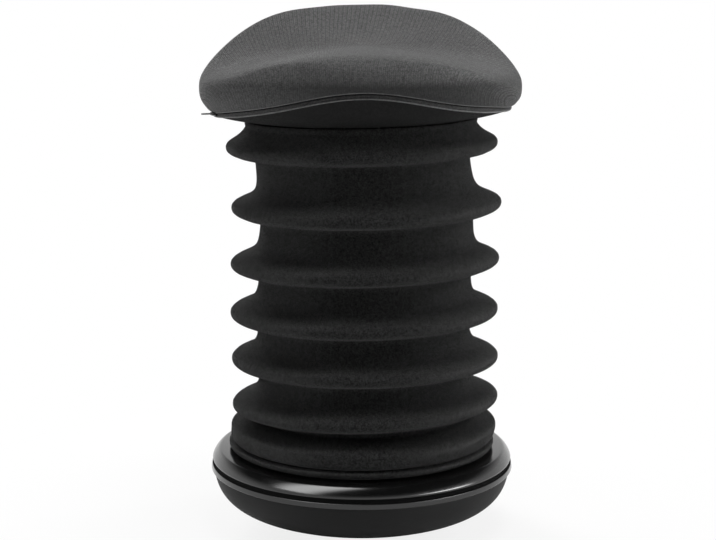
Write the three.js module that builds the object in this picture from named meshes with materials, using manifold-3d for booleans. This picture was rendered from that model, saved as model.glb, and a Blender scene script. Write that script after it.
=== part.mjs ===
// Wobble stool: a domed, weighted base, a height-adjusting gas column inside a
// ribbed fabric bellows, and a saddle-shaped upholstered seat.
// Millimetres, +Z up, standing on z = 0, with the sitter's front towards -Y.

import * as THREE from 'three';
import { mergeVertices, mergeGeometries } from 'three/addons/utils/BufferGeometryUtils.js';
import Module from 'manifold-3d';

const wasm = await Module();
wasm.setup();

// Counts of flats and steps
const bigRoundSteps = 32;
const bellowsSteps = 24;
const shaftSteps = 18;
const pinSteps = 10;
const wireSides = 6;

// Running and seating gaps
const seatGap = 0.3; // between pieces that rest on each other
const runGap = 0.4; // between pieces that slide or turn on each other
const cutOverrun = 5; // how far a cutting solid passes through what it cuts

// Base: sole, bowl and cap ring
const soleDomeRadius = 365;
const soleRestRadius = 30;
const soleEdgeRadius = 127;
const soleThickness = 4;
const soleDomeShares = [0.45, 0.75, 1];
const bowlRadius = 166.4;
const bowlCornerHeight = 98.6; // level at which the bowl's wall would stand upright
const bowlCornerBottom = 13.3; // level of the flat of its corner curve
const bowlDepth = bowlCornerHeight - bowlCornerBottom;
const bowlSeamHeight = 66;
const bowlWall = 4;
const bowlPadRadius = 64;
const bowlPadTop = 16;
const bowlCornerWidth = 36.4; // from the wall's line in to the foot of the inner corner
const bowlInnerWallRadius = bowlRadius - bowlCornerWidth;
const bowlFloorEdgeInset = 14;
const bowlFloorEdgeRadius = bowlInnerWallRadius - bowlFloorEdgeInset;
const bowlFloorShares = [1, 0.8];
const bowlLapWall = 1.8; // wall left outside the cap ring's spigot
const bowlLapDepth = 8;

const capProud = 0.6; // past the bowl's wall
const capRadius = bowlRadius + capProud;
const capSeamGroove = 0.8;
const capWallHeight = 6.2;
const capShoulderWidth = 9;
const capShoulderRise = 15;
const capTopRise = 1.5;
const capTopWidth = 37; // from the ring's wall in to its bore
const capBoreRadius = capRadius - capTopWidth;
const capWall = 3;
const capRibSetback = 6; // from the bore out to the rib below it
const capInnerRibRadius = capBoreRadius + capRibSetback;
const capInnerRibWall = 3;
const capInnerRibDepth = 18.5;
const glideEdgeGap = 1.2; // round the turning flange of the hem ring
const capSpigotDepth = 7;

const glideRingLedge = 1; // inside the bore of the hem ring that turns on it
const glideRingHeight = 3.2;

// Ballast and column foot
const ballastPadGap = 2;
const ballastBore = bowlPadRadius + ballastPadGap;
const ballastEdgeGap = 1; // from the edge of the bowl's floor
const ballastRadius = bowlFloorEdgeRadius - ballastEdgeGap;
const ballastThickness = 14;

const columnRadius = 25;
const columnWall = 2;
const columnFootPlate = 4;
const hubFlangeInset = 4; // from the edge of the bowl's pad
const hubFlangeRadius = bowlPadRadius - hubFlangeInset;
const hubFlangeThickness = 5;
const hubLedgeWidth = 5; // under the column's edge
const hubLedgeRadius = columnRadius - hubLedgeWidth;
const hubWall = 8;
const hubHeight = 54;
const hubRibCount = 6;
const hubRibThickness = 5;
const hubRibDrop = 9; // how far below the sleeve's top a rib starts
const hubRibToe = 4; // height of a rib at its outer end
const hubScrewCircle = 47;
const hubScrewCount = 4;
const screwShankRadius = 2;
const screwHeadRadius = 4.2;
const screwHeadHeight = 3;
const screwDepth = 7.4;

const bushLength = 90;
const bushCollar = 4;
const bushCollarOverhang = 2;

// Spindle: the piston rod and what turns with it
const rodRadius = 5;
const rodSpigotRadius = 3.4;
const rodCollarRadius = 8;
const rodCollarHeight = 3;
const rodGrooveDepth = 0.9;
const rodFootLength = 5; // below the column's foot plate
const clipRadius = 9.5;
const clipThickness = 1.4;
const pistonHeight = 12;
const washerRadius = 15;
const washerThickness = 2;
const bearingHeight = 4.4;
const bearingRadius = 14;
const bearingBallCount = 10;
const bearingCageThickness = 1.6;
const bufferRadius = 15.5;
const bufferHeight = 31;
const bufferWaistShares = [1, 0.8, 1];

// Bellows: fabric skin, hem ring and sewn-in hoops
const bellowsHemInset = 9.7; // inside the cap ring's bore
const bellowsHemRadius = capBoreRadius - bellowsHemInset;
const foldDepth = 27.5;
const hoopTipRadius = bellowsHemRadius + foldDepth; // to the outside of the fabric over a hoop
const hoopWireRadius = 3.4;
const hoopTipRoom = 2.5; // between a hoop's wire and the fabric over it
const fabricWall = 2;
const hoopHeightShares = [0.07717, 0.11904, 0.20095, 0.33026, 0.46589, 0.6147, 0.77272, 0.94469];
const hoopShifts = [-2.2, 0.2, 2.8, 2.5, 1.6, 2.4, 4, -0.7]; // to the right
const hoopLeanDegrees = [0.2, 0.1, 1.9, 0.6, 1, 1.4, 1.3, 1.3]; // left side low
const hoopPitchDegrees = [0, 0, 2.2, 1.8, 1, 1.1, 0, 0]; // front side high
const valleyDraw = 3.5; // of the open folds, in from the hem's line
const bellowsNeckRadius = bellowsHemRadius - valleyDraw;
const topFlare = 3.9; // of the top, out from the hem's line
const bellowsTopRadius = bellowsHemRadius + topFlare;
const openFoldReach = 8.9; // distance from a hoop at which an open fold is half way in
const openFoldPower = 2.4;
const closedFoldReach = 7.2;
const closedFoldPower = 6;
const closedFoldWall = 1.6; // taken upright, on a closed fold's flat sides
const closedFoldCount = 2; // folds that lie closed, from the lowest up
const openFoldOffsets = [5, 11];
const closedFoldOffsets = [5.6];
const hemRingWall = 3;
const hemRingFlange = 3;
const hemRingUpstand = 12;
const hemRingBore = bellowsHemRadius - fabricWall - seatGap - hemRingWall;
const glideRingBore = hemRingBore - glideRingLedge;

// Seat: outline, cushion and shell
const seatRadiusX = 174;
const seatRadiusY = 172;
const seamMeanHeight = 494.8;
const seamRearLift = 25;
const seamSaddle = 23.1;
const seamShoulderLift = 3;
const seamCornerDip = 2.7;
const seamRadiusShare = 0.93;
const seamLipGap = 5; // between the cushion's lip and the under cover's lip
const cushionRise = 38.9; // crest above the seam
const cushionCentreRise = 38.2; // middle of the top above the seam's mean height
const cushionCentreHeight = seamMeanHeight + cushionCentreRise;
const crestRadiusShare = 0.9;
const bulgeHeightShare = 0.73;
const shellCentreDrop = 2.8; // below the seam's mean height
const shellCentreHeight = seamMeanHeight - shellCentreDrop;
const shellInset = 13; // from the seam in to the shell's rim
const shellRimThickness = 4;
const shellCentreThickness = 9;
const shellRimLift = 2.5;
const dishShares = [0.45, 0.78, 1]; // of the way out to the shell's rim

// Seat: plate, pressure tube and socket
const plateDrop = 21; // from the middle of the shell's top
const plateTop = shellCentreHeight - plateDrop;
const plateThickness = 3;
const plateWidth = 150;
const plateDepth = 130;
const plateCorner = 12;
const padHeight = 13; // of the shell's boss over the plate
const padTop = plateTop + padHeight;
const padChannelWidth = 28;
const padChannelHeight = 15;
const padChannelTop = plateTop + padChannelHeight;
const padChannelFront = 16;
const tubeRadius = 14;
const tubeWall = 1.5;
const tubeLength = 264;
const tubeTopDrop = 1.8; // below the plate's top
const tubeTop = plateTop - tubeTopDrop;
const tubeBottom = tubeTop - tubeLength;
const tubeInColumn = 94.8; // length of the tube within the column, seat raised
const columnTop = tubeBottom + tubeInColumn;
const tubeTaper = 0.8;
const tubeLipWidth = 2.5;
const tubeLipHeight = 1.2;
const tubeCapThickness = 12;
const tubeBoreTaperLength = 5;
const pistonRise = 22.8; // from the tube's foot to under the piston, seat raised
const rodTop = tubeBottom + pistonRise;
const glandHeight = 10;
const socketLength = 35;
const socketWall = 5.7;
const boltSpacingX = 120;
const boltSpacingY = 100;
const boltRadius = 3;
const boltHeadRadius = 5;
const boltHeadHeight = 4;
const boltLength = 13;

// Zip: tape, slider and pull
const zipTapeWidth = 4.4;
const zipTapeDepth = 4.5;
const zipTapeInset = 1.5;
const sliderDirectionDegrees = 196; // round from the right-hand side, by way of the rear
const sliderLength = 9;
const sliderCoreHeight = 4.2;
const sliderCoreProud = 0.5; // out of the lips
const sliderPlateHeight = 6.6;
const sliderPlateDepth = 1.8;
const sliderPlateCorner = 1.6;
const sliderPlateRise = 2.1; // of its top edge above the seam
const bailThickness = 1.3;
const bailHeight = 3.2;
const bailReach = 2.2; // of its pin from the slider's plate
const bailPinRadius = 0.8;
const pullEyeRadius = 1.9;
const pullEyeWidth = 3.6;
const pullReach = 12; // from the bail's pin to its outer end
const pullWidth = 5.6;
const pullThickness = 1.3;
const pullShoulder = 2.6; // from the bail's pin to where the tab widens
const pullRim = 1.4; // round its window

// Under cover and the ring that clamps the bellows' top
const neckDrop = 16; // below the plate's top
const neckTop = plateTop - neckDrop;
const neckRingHeight = 6;
const neckBottom = neckTop - neckRingHeight;
const neckRingWall = 5.4;
const neckRingOverhang = 0.6; // past the bellows' top
const neckRadius = bellowsTopRadius + neckRingOverhang;
const coverBottom = neckTop + seatGap;
const underCoverWall = 2.5;
const underCoverWallShare = 0.6; // part of the wall that is taken radially
const underCoverLip = 9;
const underCoverRadiusShares = [0.35, 0.7];
const underCoverHeightShares = [0.2, 0.55];

// Release lever and pin
const leverPivotY = 30;
const leverPivotRise = 5.5; // over the plate's top
const leverPivotHeight = plateTop + leverPivotRise;
const leverThickness = 4;
const leverWidth = 14;
const leverHubRadius = 4.2;
const leverPinRadius = 2;
const leverPinLength = 25;
const earThickness = 3;
const earGap = 1;
const earHeight = 10;
const earLength = 12;
const leverNoseReach = 5; // past the axis, over the release pin
const gripDepth = 18;
const gripWidth = 44;
const gripThickness = 9;
const gripRound = 3;
const gripOverhang = 4; // past the bar's outer end
const gripStandoff = 12.2; // out from the under cover
const leverSideRoom = 4;
const leverDropRoom = 5;
const leverLiftRoom = 17.5;
const slotWidth = leverWidth + 2 * leverSideRoom;
const slotBottom = leverPivotHeight - leverDropRoom;
const slotTop = leverPivotHeight + leverLiftRoom;
const releasePinRadius = 2.4;
const releasePinHeadRadius = 4;
const releasePinHead = 2;

// Finishes
const satinBlack = { color: 0x1b1b1d, roughness: 0.62, metalness: 0 };
const glossBlack = { color: 0x0b0b0c, roughness: 0.12, metalness: 0 };
const soleBlack = { color: 0x202022, roughness: 0.85, metalness: 0 };
const castIron = { color: 0x3a3b3d, roughness: 0.7, metalness: 0.8 };
const blackSteel = { color: 0x18191b, roughness: 0.4, metalness: 0.7 };
const brightSteel = { color: 0xb9bcc0, roughness: 0.25, metalness: 1 };
const paleNylon = { color: 0xd9d8d2, roughness: 0.5, metalness: 0 };
const seatKnit = { color: 0x3c3c3f, roughness: 0.95, metalness: 0 };
const bellowsKnit = { color: 0x242426, roughness: 0.95, metalness: 0 };
const shellGrey = { color: 0x35363a, roughness: 0.6, metalness: 0 };
const bufferRubber = { color: 0x2a2523, roughness: 0.8, metalness: 0 };

const stool = new THREE.Group();

function add(name, geometry, finish, parent = stool) {
  const mesh = new THREE.Mesh(geometry, new THREE.MeshStandardMaterial(finish));
  mesh.name = name;
  parent.add(mesh);
  return mesh;
}

// A solid turned about Z from a closed outline of [radius, height] points,
// listed outside upwards and inside downwards
function turned(outline, steps) {
  const onAxis = outline[0][0] === 0;
  const loop = onAxis ? outline : [...outline, outline[0]];
  const points = loop.map(([radius, height]) => new THREE.Vector2(radius, height));
  return new THREE.LatheGeometry(points, steps).rotateX(Math.PI / 2);
}

// A plain ring or tube between two radii and two heights
function ring(inner, outer, bottom, top, steps) {
  return turned([[outer, bottom], [outer, top], [inner, top], [inner, bottom]], steps);
}

// A plain disc or shaft
function disc(radius, bottom, top, steps) {
  return turned([[0, bottom], [radius, bottom], [radius, top], [0, top]], steps);
}

// A closed surface through rings of points, joined in order. A ring of one
// point is a pole; with loop set, the last ring joins the first. Each cell is
// split along its shorter diagonal, so that surfaces which lie on each other
// are split alike.
function lofted(rings, loop = false) {
  const points = rings.flat();
  const index = [];
  let start = 0;
  rings.forEach((lower, i) => {
    const last = i === rings.length - 1;
    if (last && !loop) return;
    const upper = rings[(i + 1) % rings.length];
    const upperStart = last ? 0 : start + lower.length;
    const cells = Math.max(lower.length, upper.length);
    for (let j = 0; j < cells; j++) {
      const k = (j + 1) % cells;
      const a = start + (j % lower.length);
      const b = start + (k % lower.length);
      const c = upperStart + (k % upper.length);
      const d = upperStart + (j % upper.length);
      const rising = points[a].distanceTo(points[c]);
      const falling = points[b].distanceTo(points[d]);
      if (lower.length === 1) index.push(a, c, d);
      else if (upper.length === 1) index.push(a, b, c);
      else if (rising <= falling) index.push(a, b, c, a, c, d);
      else index.push(a, b, d, b, c, d);
    }
    start += lower.length;
  });
  const geometry = new THREE.BufferGeometry().setFromPoints(points);
  geometry.setIndex(index);
  return geometry;
}

// Joining and cutting
function solid(geometry) {
  const bare = geometry.clone();
  bare.deleteAttribute('normal');
  bare.deleteAttribute('uv');
  const merged = mergeVertices(bare);
  const mesh = new wasm.Mesh({
    numProp: 3,
    vertProperties: new Float32Array(merged.attributes.position.array),
    triVerts: new Uint32Array(merged.index.array),
  });
  return new wasm.Manifold(mesh);
}

function shape(manifold) {
  const mesh = manifold.getMesh();
  const geometry = new THREE.BufferGeometry();
  geometry.setAttribute('position', new THREE.BufferAttribute(mesh.vertProperties, 3));
  geometry.setIndex(new THREE.BufferAttribute(mesh.triVerts, 1));
  return geometry;
}

function cut(geometry, ...tools) {
  return shape(tools.reduce((body, tool) => body.subtract(solid(tool)), solid(geometry)));
}

function join(...parts) {
  return shape(parts.slice(1).reduce((body, part) => body.add(solid(part)), solid(parts[0])));
}

// A flat outline given a thickness along Z, with its arcs in a few flats
function extruded(outline, depth, curveSegments) {
  return new THREE.ExtrudeGeometry(outline, { depth, bevelEnabled: false, curveSegments });
}

// A rectangle with round corners, about the origin
function roundedOutline(width, height, corner) {
  const outline = new THREE.Shape();
  const x = width / 2 - corner;
  const y = height / 2 - corner;
  outline.absarc(x, y, corner, 0, Math.PI / 2);
  outline.absarc(-x, y, corner, Math.PI / 2, Math.PI);
  outline.absarc(-x, -y, corner, Math.PI, 1.5 * Math.PI);
  outline.absarc(x, -y, corner, 1.5 * Math.PI, 2 * Math.PI);
  return outline;
}

function box(sizeX, sizeY, sizeZ, x, y, z) {
  return new THREE.BoxGeometry(sizeX, sizeY, sizeZ).translate(x, y, z);
}

function shaftAt(radius, bottom, top, x, y, steps) {
  return disc(radius, bottom, top, steps).translate(x, y, 0);
}

// A shaft lying along X, centred on the middle plane
function crossShaft(radius, length, y, z, steps) {
  const shaft = disc(radius, -length / 2, length / 2, steps);
  return shaft.rotateY(Math.PI / 2).translate(0, y, z);
}

// A point at a radius and an angle about the axis
function around(radius, angle, height = 0) {
  return new THREE.Vector3(radius * Math.cos(angle), radius * Math.sin(angle), height);
}

// Even angles round the axis
function angles(count, startShare = 0) {
  return Array.from({ length: count }, (_, i) => ((i + startShare) * 2 * Math.PI) / count);
}

// The sole's dome, measured down from the resting flat
const restDrop = soleDomeRadius - Math.sqrt(soleDomeRadius ** 2 - soleRestRadius ** 2);

function domeHeight(radius) {
  return soleDomeRadius - Math.sqrt(soleDomeRadius ** 2 - radius ** 2) - restDrop;
}

// Radius of the bowl's outside at a height
function bowlRadiusAt(height) {
  return bowlRadius * (1 - ((bowlCornerHeight - height) / bowlDepth) ** 4) ** 0.25;
}

// The bowl's rounded corner and wall, as a curve of the fourth power
function cornerCurve(radius, depth, fromRadius, toHeight, steps) {
  const start = Math.acos((fromRadius / radius) ** 2);
  const end = Math.asin(((bowlCornerHeight - toHeight) / depth) ** 2);
  const points = [];
  for (let i = 0; i <= steps; i++) {
    const turn = start + ((end - start) * i) / steps;
    const height = bowlCornerHeight - depth * Math.sqrt(Math.sin(turn));
    points.push([radius * Math.sqrt(Math.cos(turn)), height]);
  }
  return points;
}

const soleRadii = soleDomeShares.map((share) => soleEdgeRadius * share);

function makeSole() {
  const underside = soleRadii.map((radius) => [radius, domeHeight(radius)]);
  const topside = [...underside].reverse().map(([radius, height]) => [radius, height + soleThickness]);
  const centreTop = soleThickness - restDrop;
  return turned([[0, 0], [soleRestRadius, 0], ...underside, ...topside, [0, centreTop]], bigRoundSteps);
}

function bowlUnderside(radius) {
  return domeHeight(radius) + soleThickness + seatGap;
}

function bowlFloor(radius) {
  return bowlUnderside(radius) + bowlWall;
}

// Where the hub's screws stand
const screwPlaces = angles(hubScrewCount, 0.5).map((angle) => around(hubScrewCircle, angle));

function screwShafts(radius, bottom, top) {
  return screwPlaces.map(({ x, y }) => shaftAt(radius, bottom, top, x, y, pinSteps));
}

function makeBowl() {
  const recessRadius = soleEdgeRadius + seatGap;
  const underside = soleRadii.map((radius) => [radius, bowlUnderside(radius)]);
  const recess = [[recessRadius, bowlUnderside(soleEdgeRadius)]];
  const outer = cornerCurve(bowlRadius, bowlDepth, recessRadius, bowlSeamHeight, 6);
  const lapBottom = bowlSeamHeight - bowlLapDepth;
  const lap = [[bowlLapRadius, bowlSeamHeight], [bowlLapRadius, lapBottom]];
  const inner = cornerCurve(bowlRadius - bowlWall, bowlDepth - bowlWall, bowlInnerWallRadius, lapBottom, 3);
  const floorRadii = bowlFloorShares.map((share) => bowlFloorEdgeRadius * share);
  const floor = floorRadii.map((radius) => [radius, bowlFloor(radius)]);
  const pad = [[bowlPadRadius, bowlFloor(bowlPadRadius)], [bowlPadRadius, bowlPadTop], [0, bowlPadTop]];
  const outline = [
    [0, bowlUnderside(0)],
    ...underside,
    ...recess,
    ...outer,
    ...lap,
    ...inner.reverse(),
    ...floor,
    ...pad,
  ];
  const holeBottom = bowlPadTop - screwDepth - seatGap;
  const holes = screwShafts(screwShankRadius + seatGap, holeBottom, bowlPadTop + cutOverrun);
  return cut(turned(outline, bigRoundSteps), ...holes);
}

const bowlLapRadius = bowlRadiusAt(bowlSeamHeight) - bowlLapWall;
const capBottom = bowlSeamHeight + seatGap;
const capShoulderBottom = capBottom + capWallHeight;
const capTop = capShoulderBottom + capShoulderRise;

function makeCapRing() {
  const spigotRadius = bowlLapRadius - seatGap;
  const shoulderRadius = capRadius - capShoulderWidth;
  const shoulderSteps = 4;
  const shoulder = [];
  for (let i = 0; i <= shoulderSteps; i++) {
    const turn = ((Math.PI / 2) * i) / shoulderSteps;
    shoulder.push([
      shoulderRadius + capShoulderWidth * Math.cos(turn),
      capShoulderBottom + capShoulderRise * Math.sin(turn),
    ]);
  }
  const ribTop = capTop - capWall;
  const ribBottom = ribTop - capInnerRibDepth;
  const ribOuter = capInnerRibRadius + capInnerRibWall;
  return turned(
    [
      [spigotRadius, capBottom - capSpigotDepth],
      [spigotRadius, capBottom],
      [capRadius - capSeamGroove, capBottom],
      [capRadius, capBottom + capSeamGroove],
      ...shoulder,
      [capBoreRadius, capTop + capTopRise],
      [capBoreRadius, ribTop],
      [capInnerRibRadius, ribTop],
      [capInnerRibRadius, ribBottom],
      [ribOuter, ribBottom],
      [ribOuter, ribTop],
      [shoulderRadius, ribTop],
      [spigotRadius - capWall, capShoulderBottom],
      [spigotRadius - capWall, capBottom - capSpigotDepth],
    ],
    bigRoundSteps,
  );
}

// Levels of the glide ring and of the hem ring that turns on it
const glideTop = capTop - capWall - capInnerRibDepth - seatGap;
const hemRingBottom = glideTop + seatGap;
const hemBottom = hemRingBottom + hemRingFlange + seatGap;

function makeGlideRing() {
  const outer = capInnerRibRadius + capInnerRibWall;
  return ring(glideRingBore, outer, glideTop - glideRingHeight, glideTop, bigRoundSteps);
}

function makeBallast() {
  const shares = [0, 0.5, 1];
  const bottom = shares.map((share) => {
    const radius = ballastBore + (ballastRadius - ballastBore) * share;
    return [radius, bowlFloor(radius) + seatGap];
  });
  const top = [bottom[2], bottom[0]].map(([radius, height]) => [radius, height + ballastThickness]);
  return turned([...bottom, ...top], bigRoundSteps);
}

const hubBottom = bowlPadTop + seatGap;
const hubFlangeTop = hubBottom + hubFlangeThickness;
const hubTop = hubBottom + hubHeight;
const columnBottom = hubFlangeTop + seatGap;

function makeHub() {
  const bore = columnRadius + seatGap;
  const sleeve = bore + hubWall;
  const body = turned(
    [
      [hubFlangeRadius, hubBottom],
      [hubFlangeRadius, hubFlangeTop],
      [sleeve, hubFlangeTop],
      [sleeve, hubTop],
      [bore, hubTop],
      [bore, hubFlangeTop],
      [hubLedgeRadius, hubFlangeTop],
      [hubLedgeRadius, hubBottom],
    ],
    shaftSteps,
  );
  const ribInner = bore + hubWall / 2;
  const ribShape = new THREE.Shape();
  ribShape.moveTo(ribInner, hubBottom + hubFlangeThickness / 2);
  ribShape.lineTo(hubFlangeRadius - hubRibToe, hubBottom + hubFlangeThickness / 2);
  ribShape.lineTo(hubFlangeRadius - hubRibToe, hubFlangeTop + hubRibToe);
  ribShape.lineTo(ribInner, hubTop - hubRibDrop);
  const ribs = angles(hubRibCount).map((angle) =>
    extruded(ribShape, hubRibThickness, 1)
      .translate(0, 0, -hubRibThickness / 2)
      .rotateX(Math.PI / 2)
      .rotateZ(angle),
  );
  const holes = screwShafts(screwShankRadius + runGap, hubBottom - cutOverrun, hubFlangeTop + cutOverrun);
  return cut(join(body, ...ribs), ...holes);
}

function makeHubScrew() {
  const underHead = hubFlangeTop + seatGap;
  return turned(
    [
      [0, bowlPadTop - screwDepth],
      [screwShankRadius, bowlPadTop - screwDepth],
      [screwShankRadius, underHead],
      [screwHeadRadius, underHead],
      [screwHeadRadius, underHead + screwHeadHeight],
      [0, underHead + screwHeadHeight],
    ],
    pinSteps,
  );
}

function makeColumn() {
  const inner = columnRadius - columnWall;
  return turned(
    [
      [columnRadius, columnBottom],
      [columnRadius, columnTop],
      [inner, columnTop],
      [inner, columnBottom + columnFootPlate],
      [rodRadius + runGap, columnBottom + columnFootPlate],
      [rodRadius + runGap, columnBottom],
    ],
    shaftSteps,
  );
}

function makeBush() {
  const outer = columnRadius - columnWall - seatGap;
  const collarBottom = columnTop + seatGap;
  const inner = tubeRadius + runGap;
  return turned(
    [
      [outer, columnTop - bushLength],
      [outer, collarBottom],
      [columnRadius + bushCollarOverhang, collarBottom],
      [columnRadius + bushCollarOverhang, collarBottom + bushCollar],
      [inner, collarBottom + bushCollar],
      [inner, columnTop - bushLength],
    ],
    shaftSteps,
  );
}

// Levels of the thrust bearing's stack on the column's foot plate
const lowerWasherBottom = columnBottom + columnFootPlate + seatGap;
const bearingBottom = lowerWasherBottom + washerThickness + seatGap;
const upperWasherBottom = bearingBottom + bearingHeight + seatGap;
const rodCollarBottom = upperWasherBottom + washerThickness + seatGap;
const bufferBottom = rodCollarBottom + rodCollarHeight + seatGap;
const clipTop = columnBottom - seatGap;
const rodBottom = columnBottom - rodFootLength;
const washerBore = rodRadius + runGap;

function makeRod() {
  const groove = rodRadius - rodGrooveDepth;
  return turned(
    [
      [0, rodBottom],
      [rodRadius, rodBottom],
      [rodRadius, clipTop - clipThickness - seatGap],
      [groove, clipTop - clipThickness - seatGap],
      [groove, clipTop + seatGap],
      [rodRadius, clipTop + seatGap],
      [rodRadius, rodCollarBottom],
      [rodCollarRadius, rodCollarBottom],
      [rodCollarRadius, rodCollarBottom + rodCollarHeight],
      [rodRadius, rodCollarBottom + rodCollarHeight],
      [rodRadius, rodTop],
      [rodSpigotRadius, rodTop],
      [rodSpigotRadius, rodTop + pistonHeight],
      [0, rodTop + pistonHeight],
    ],
    shaftSteps,
  );
}

function makeClip() {
  const bore = rodRadius - rodGrooveDepth + seatGap;
  return ring(bore, clipRadius, clipTop - clipThickness, clipTop, shaftSteps);
}

function makeWasher(bottom) {
  return ring(washerBore, washerRadius, bottom, bottom + washerThickness, shaftSteps);
}

function makeBearing() {
  const ballRadius = bearingHeight / 2;
  const middle = (washerBore + bearingRadius) / 2;
  const level = bearingBottom + ballRadius;
  const cageBottom = level - bearingCageThickness / 2;
  const cageTop = cageBottom + bearingCageThickness;
  const cage = ring(washerBore + seatGap, bearingRadius, cageBottom, cageTop, shaftSteps);
  const balls = angles(bearingBallCount).map((angle) => {
    const place = around(middle, angle, level);
    return new THREE.OctahedronGeometry(ballRadius, 0).translate(place.x, place.y, place.z);
  });
  return join(cage, ...balls);
}

function makeBuffer() {
  const steps = bufferWaistShares.length - 1;
  const top = bufferBottom + bufferHeight;
  const outer = bufferWaistShares.map((share, i) => [
    bufferRadius * share,
    bufferBottom + (bufferHeight * i) / steps,
  ]);
  return turned([...outer, [washerBore, top], [washerBore, bufferBottom]], shaftSteps);
}

function makeHemRing() {
  const bore = hemRingBore;
  const flangeTop = hemRingBottom + hemRingFlange;
  return turned(
    [
      [capInnerRibRadius - glideEdgeGap, hemRingBottom],
      [capInnerRibRadius - glideEdgeGap, flangeTop],
      [bore + hemRingWall, flangeTop],
      [bore + hemRingWall, flangeTop + hemRingUpstand],
      [bore, flangeTop + hemRingUpstand],
      [bore, hemRingBottom],
    ],
    bellowsSteps,
  );
}

// How far out the fabric stands at a distance from its hoop: 1 at the hoop
function foldShare(distance, closed) {
  const reach = closed ? closedFoldReach : openFoldReach;
  const power = closed ? closedFoldPower : openFoldPower;
  return 1 / (1 + (distance / reach) ** power);
}

const hoopHeights = hoopHeightShares.map((share) => hemBottom + (neckBottom - hemBottom) * share);

// How a hoop hangs: pushed aside and tilted a little by its fabric
const hoopPoses = hoopHeights.map((height, i) => ({
  height,
  shift: hoopShifts[i],
  lean: THREE.MathUtils.degToRad(hoopLeanDegrees[i]),
  pitch: THREE.MathUtils.degToRad(hoopPitchDegrees[i]),
}));
const upright = { shift: 0, lean: 0, pitch: 0 };

function halfway(a, b) {
  return { shift: (a.shift + b.shift) / 2, lean: (a.lean + b.lean) / 2, pitch: (a.pitch + b.pitch) / 2 };
}

// The skin's stations from hem to neck: radius, height, how they are tilted,
// and how much higher the inside lies than the outside
function bellowsStations() {
  const last = hoopPoses.length - 1;
  const foldRoot = hoopHeights[0] - closedFoldReach;
  const stations = [
    { ...upright, radius: bellowsHemRadius, height: hemBottom },
    { ...upright, radius: bellowsHemRadius, height: foldRoot, lining: closedFoldWall },
  ];
  hoopPoses.forEach((pose, i) => {
    const closedBelow = i < closedFoldCount;
    const closedAbove = i + 1 < closedFoldCount;
    const valleyBelow = closedBelow ? bellowsHemRadius : bellowsNeckRadius;
    const valleyAbove = closedAbove ? bellowsHemRadius : i < last ? bellowsNeckRadius : bellowsTopRadius;
    const station = (offset, valley, closed) => {
      const radius = valley + (hoopTipRadius - valley) * foldShare(Math.abs(offset), closed);
      const lining = closed ? -Math.sign(offset) * closedFoldWall : 0;
      stations.push({ ...pose, radius, height: pose.height + offset, lining });
    };
    const offsets = (closed) => (closed ? closedFoldOffsets : openFoldOffsets);
    [...offsets(closedBelow)].reverse().forEach((offset) => station(-offset, valleyBelow, closedBelow));
    station(0, valleyAbove, closedAbove);
    offsets(closedAbove).forEach((offset) => station(offset, valleyAbove, closedAbove));
    if (i < last) {
      const next = hoopPoses[i + 1];
      const height = (pose.height + next.height) / 2;
      stations.push({ ...halfway(pose, next), radius: valleyAbove, height });
    }
  });
  stations.push({ ...upright, radius: bellowsTopRadius, height: neckBottom - seatGap });
  return stations;
}

// A circle of points that shares a hoop's shift and tilt
function tiltedCircle({ radius, height, shift, lean, pitch }, inset = 0) {
  return angles(bellowsSteps).map((angle) => {
    const { x, y } = around(radius - inset, angle);
    return new THREE.Vector3(x + shift, y, height + x * Math.tan(lean) - y * Math.tan(pitch));
  });
}

function makeBellows() {
  const stations = bellowsStations();
  const outside = stations.map((station) => tiltedCircle(station));
  const inside = [...stations].reverse().map((station) => {
    const height = station.height + (station.lining ?? 0);
    return tiltedCircle({ ...station, height }, fabricWall);
  });
  return lofted([...outside, ...inside], true);
}

function makeHoop(pose) {
  const centreRadius = hoopTipRadius - fabricWall - hoopTipRoom - hoopWireRadius;
  const rings = angles(wireSides).map((turn) => {
    const radius = centreRadius + hoopWireRadius * Math.cos(turn);
    return tiltedCircle({ ...pose, radius, height: pose.height + hoopWireRadius * Math.sin(turn) });
  });
  return lofted(rings, true);
}

// Height of the seam at a direction about the axis: high in front, higher
// behind and low at the sides
function seamHeight(angle) {
  return (
    seamMeanHeight +
    seamRearLift * Math.sin(angle) -
    seamSaddle * Math.cos(2 * angle) +
    seamShoulderLift * Math.sin(3 * angle) -
    seamCornerDip * Math.cos(4 * angle)
  );
}

// A closed line round the seat at a share of its outline, less an inset
function seatLine(share, inset, heightAt, steps = bigRoundSteps) {
  return angles(steps).map((angle) => {
    const x = (seatRadiusX * share - inset) * Math.cos(angle);
    const y = (seatRadiusY * share - inset) * Math.sin(angle);
    return new THREE.Vector3(x, y, heightAt(angle));
  });
}

// The shell's rim, and its dished top as a share of the way out to that rim
function shellTop(angle, share) {
  return shellCentreHeight + (seamHeight(angle) + shellRimLift - shellCentreHeight) * share ** 2;
}

function cushionTop(angle, share) {
  const crest = seamHeight(angle) + cushionRise;
  return cushionCentreHeight + (crest - cushionCentreHeight) * share ** 2;
}

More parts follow.
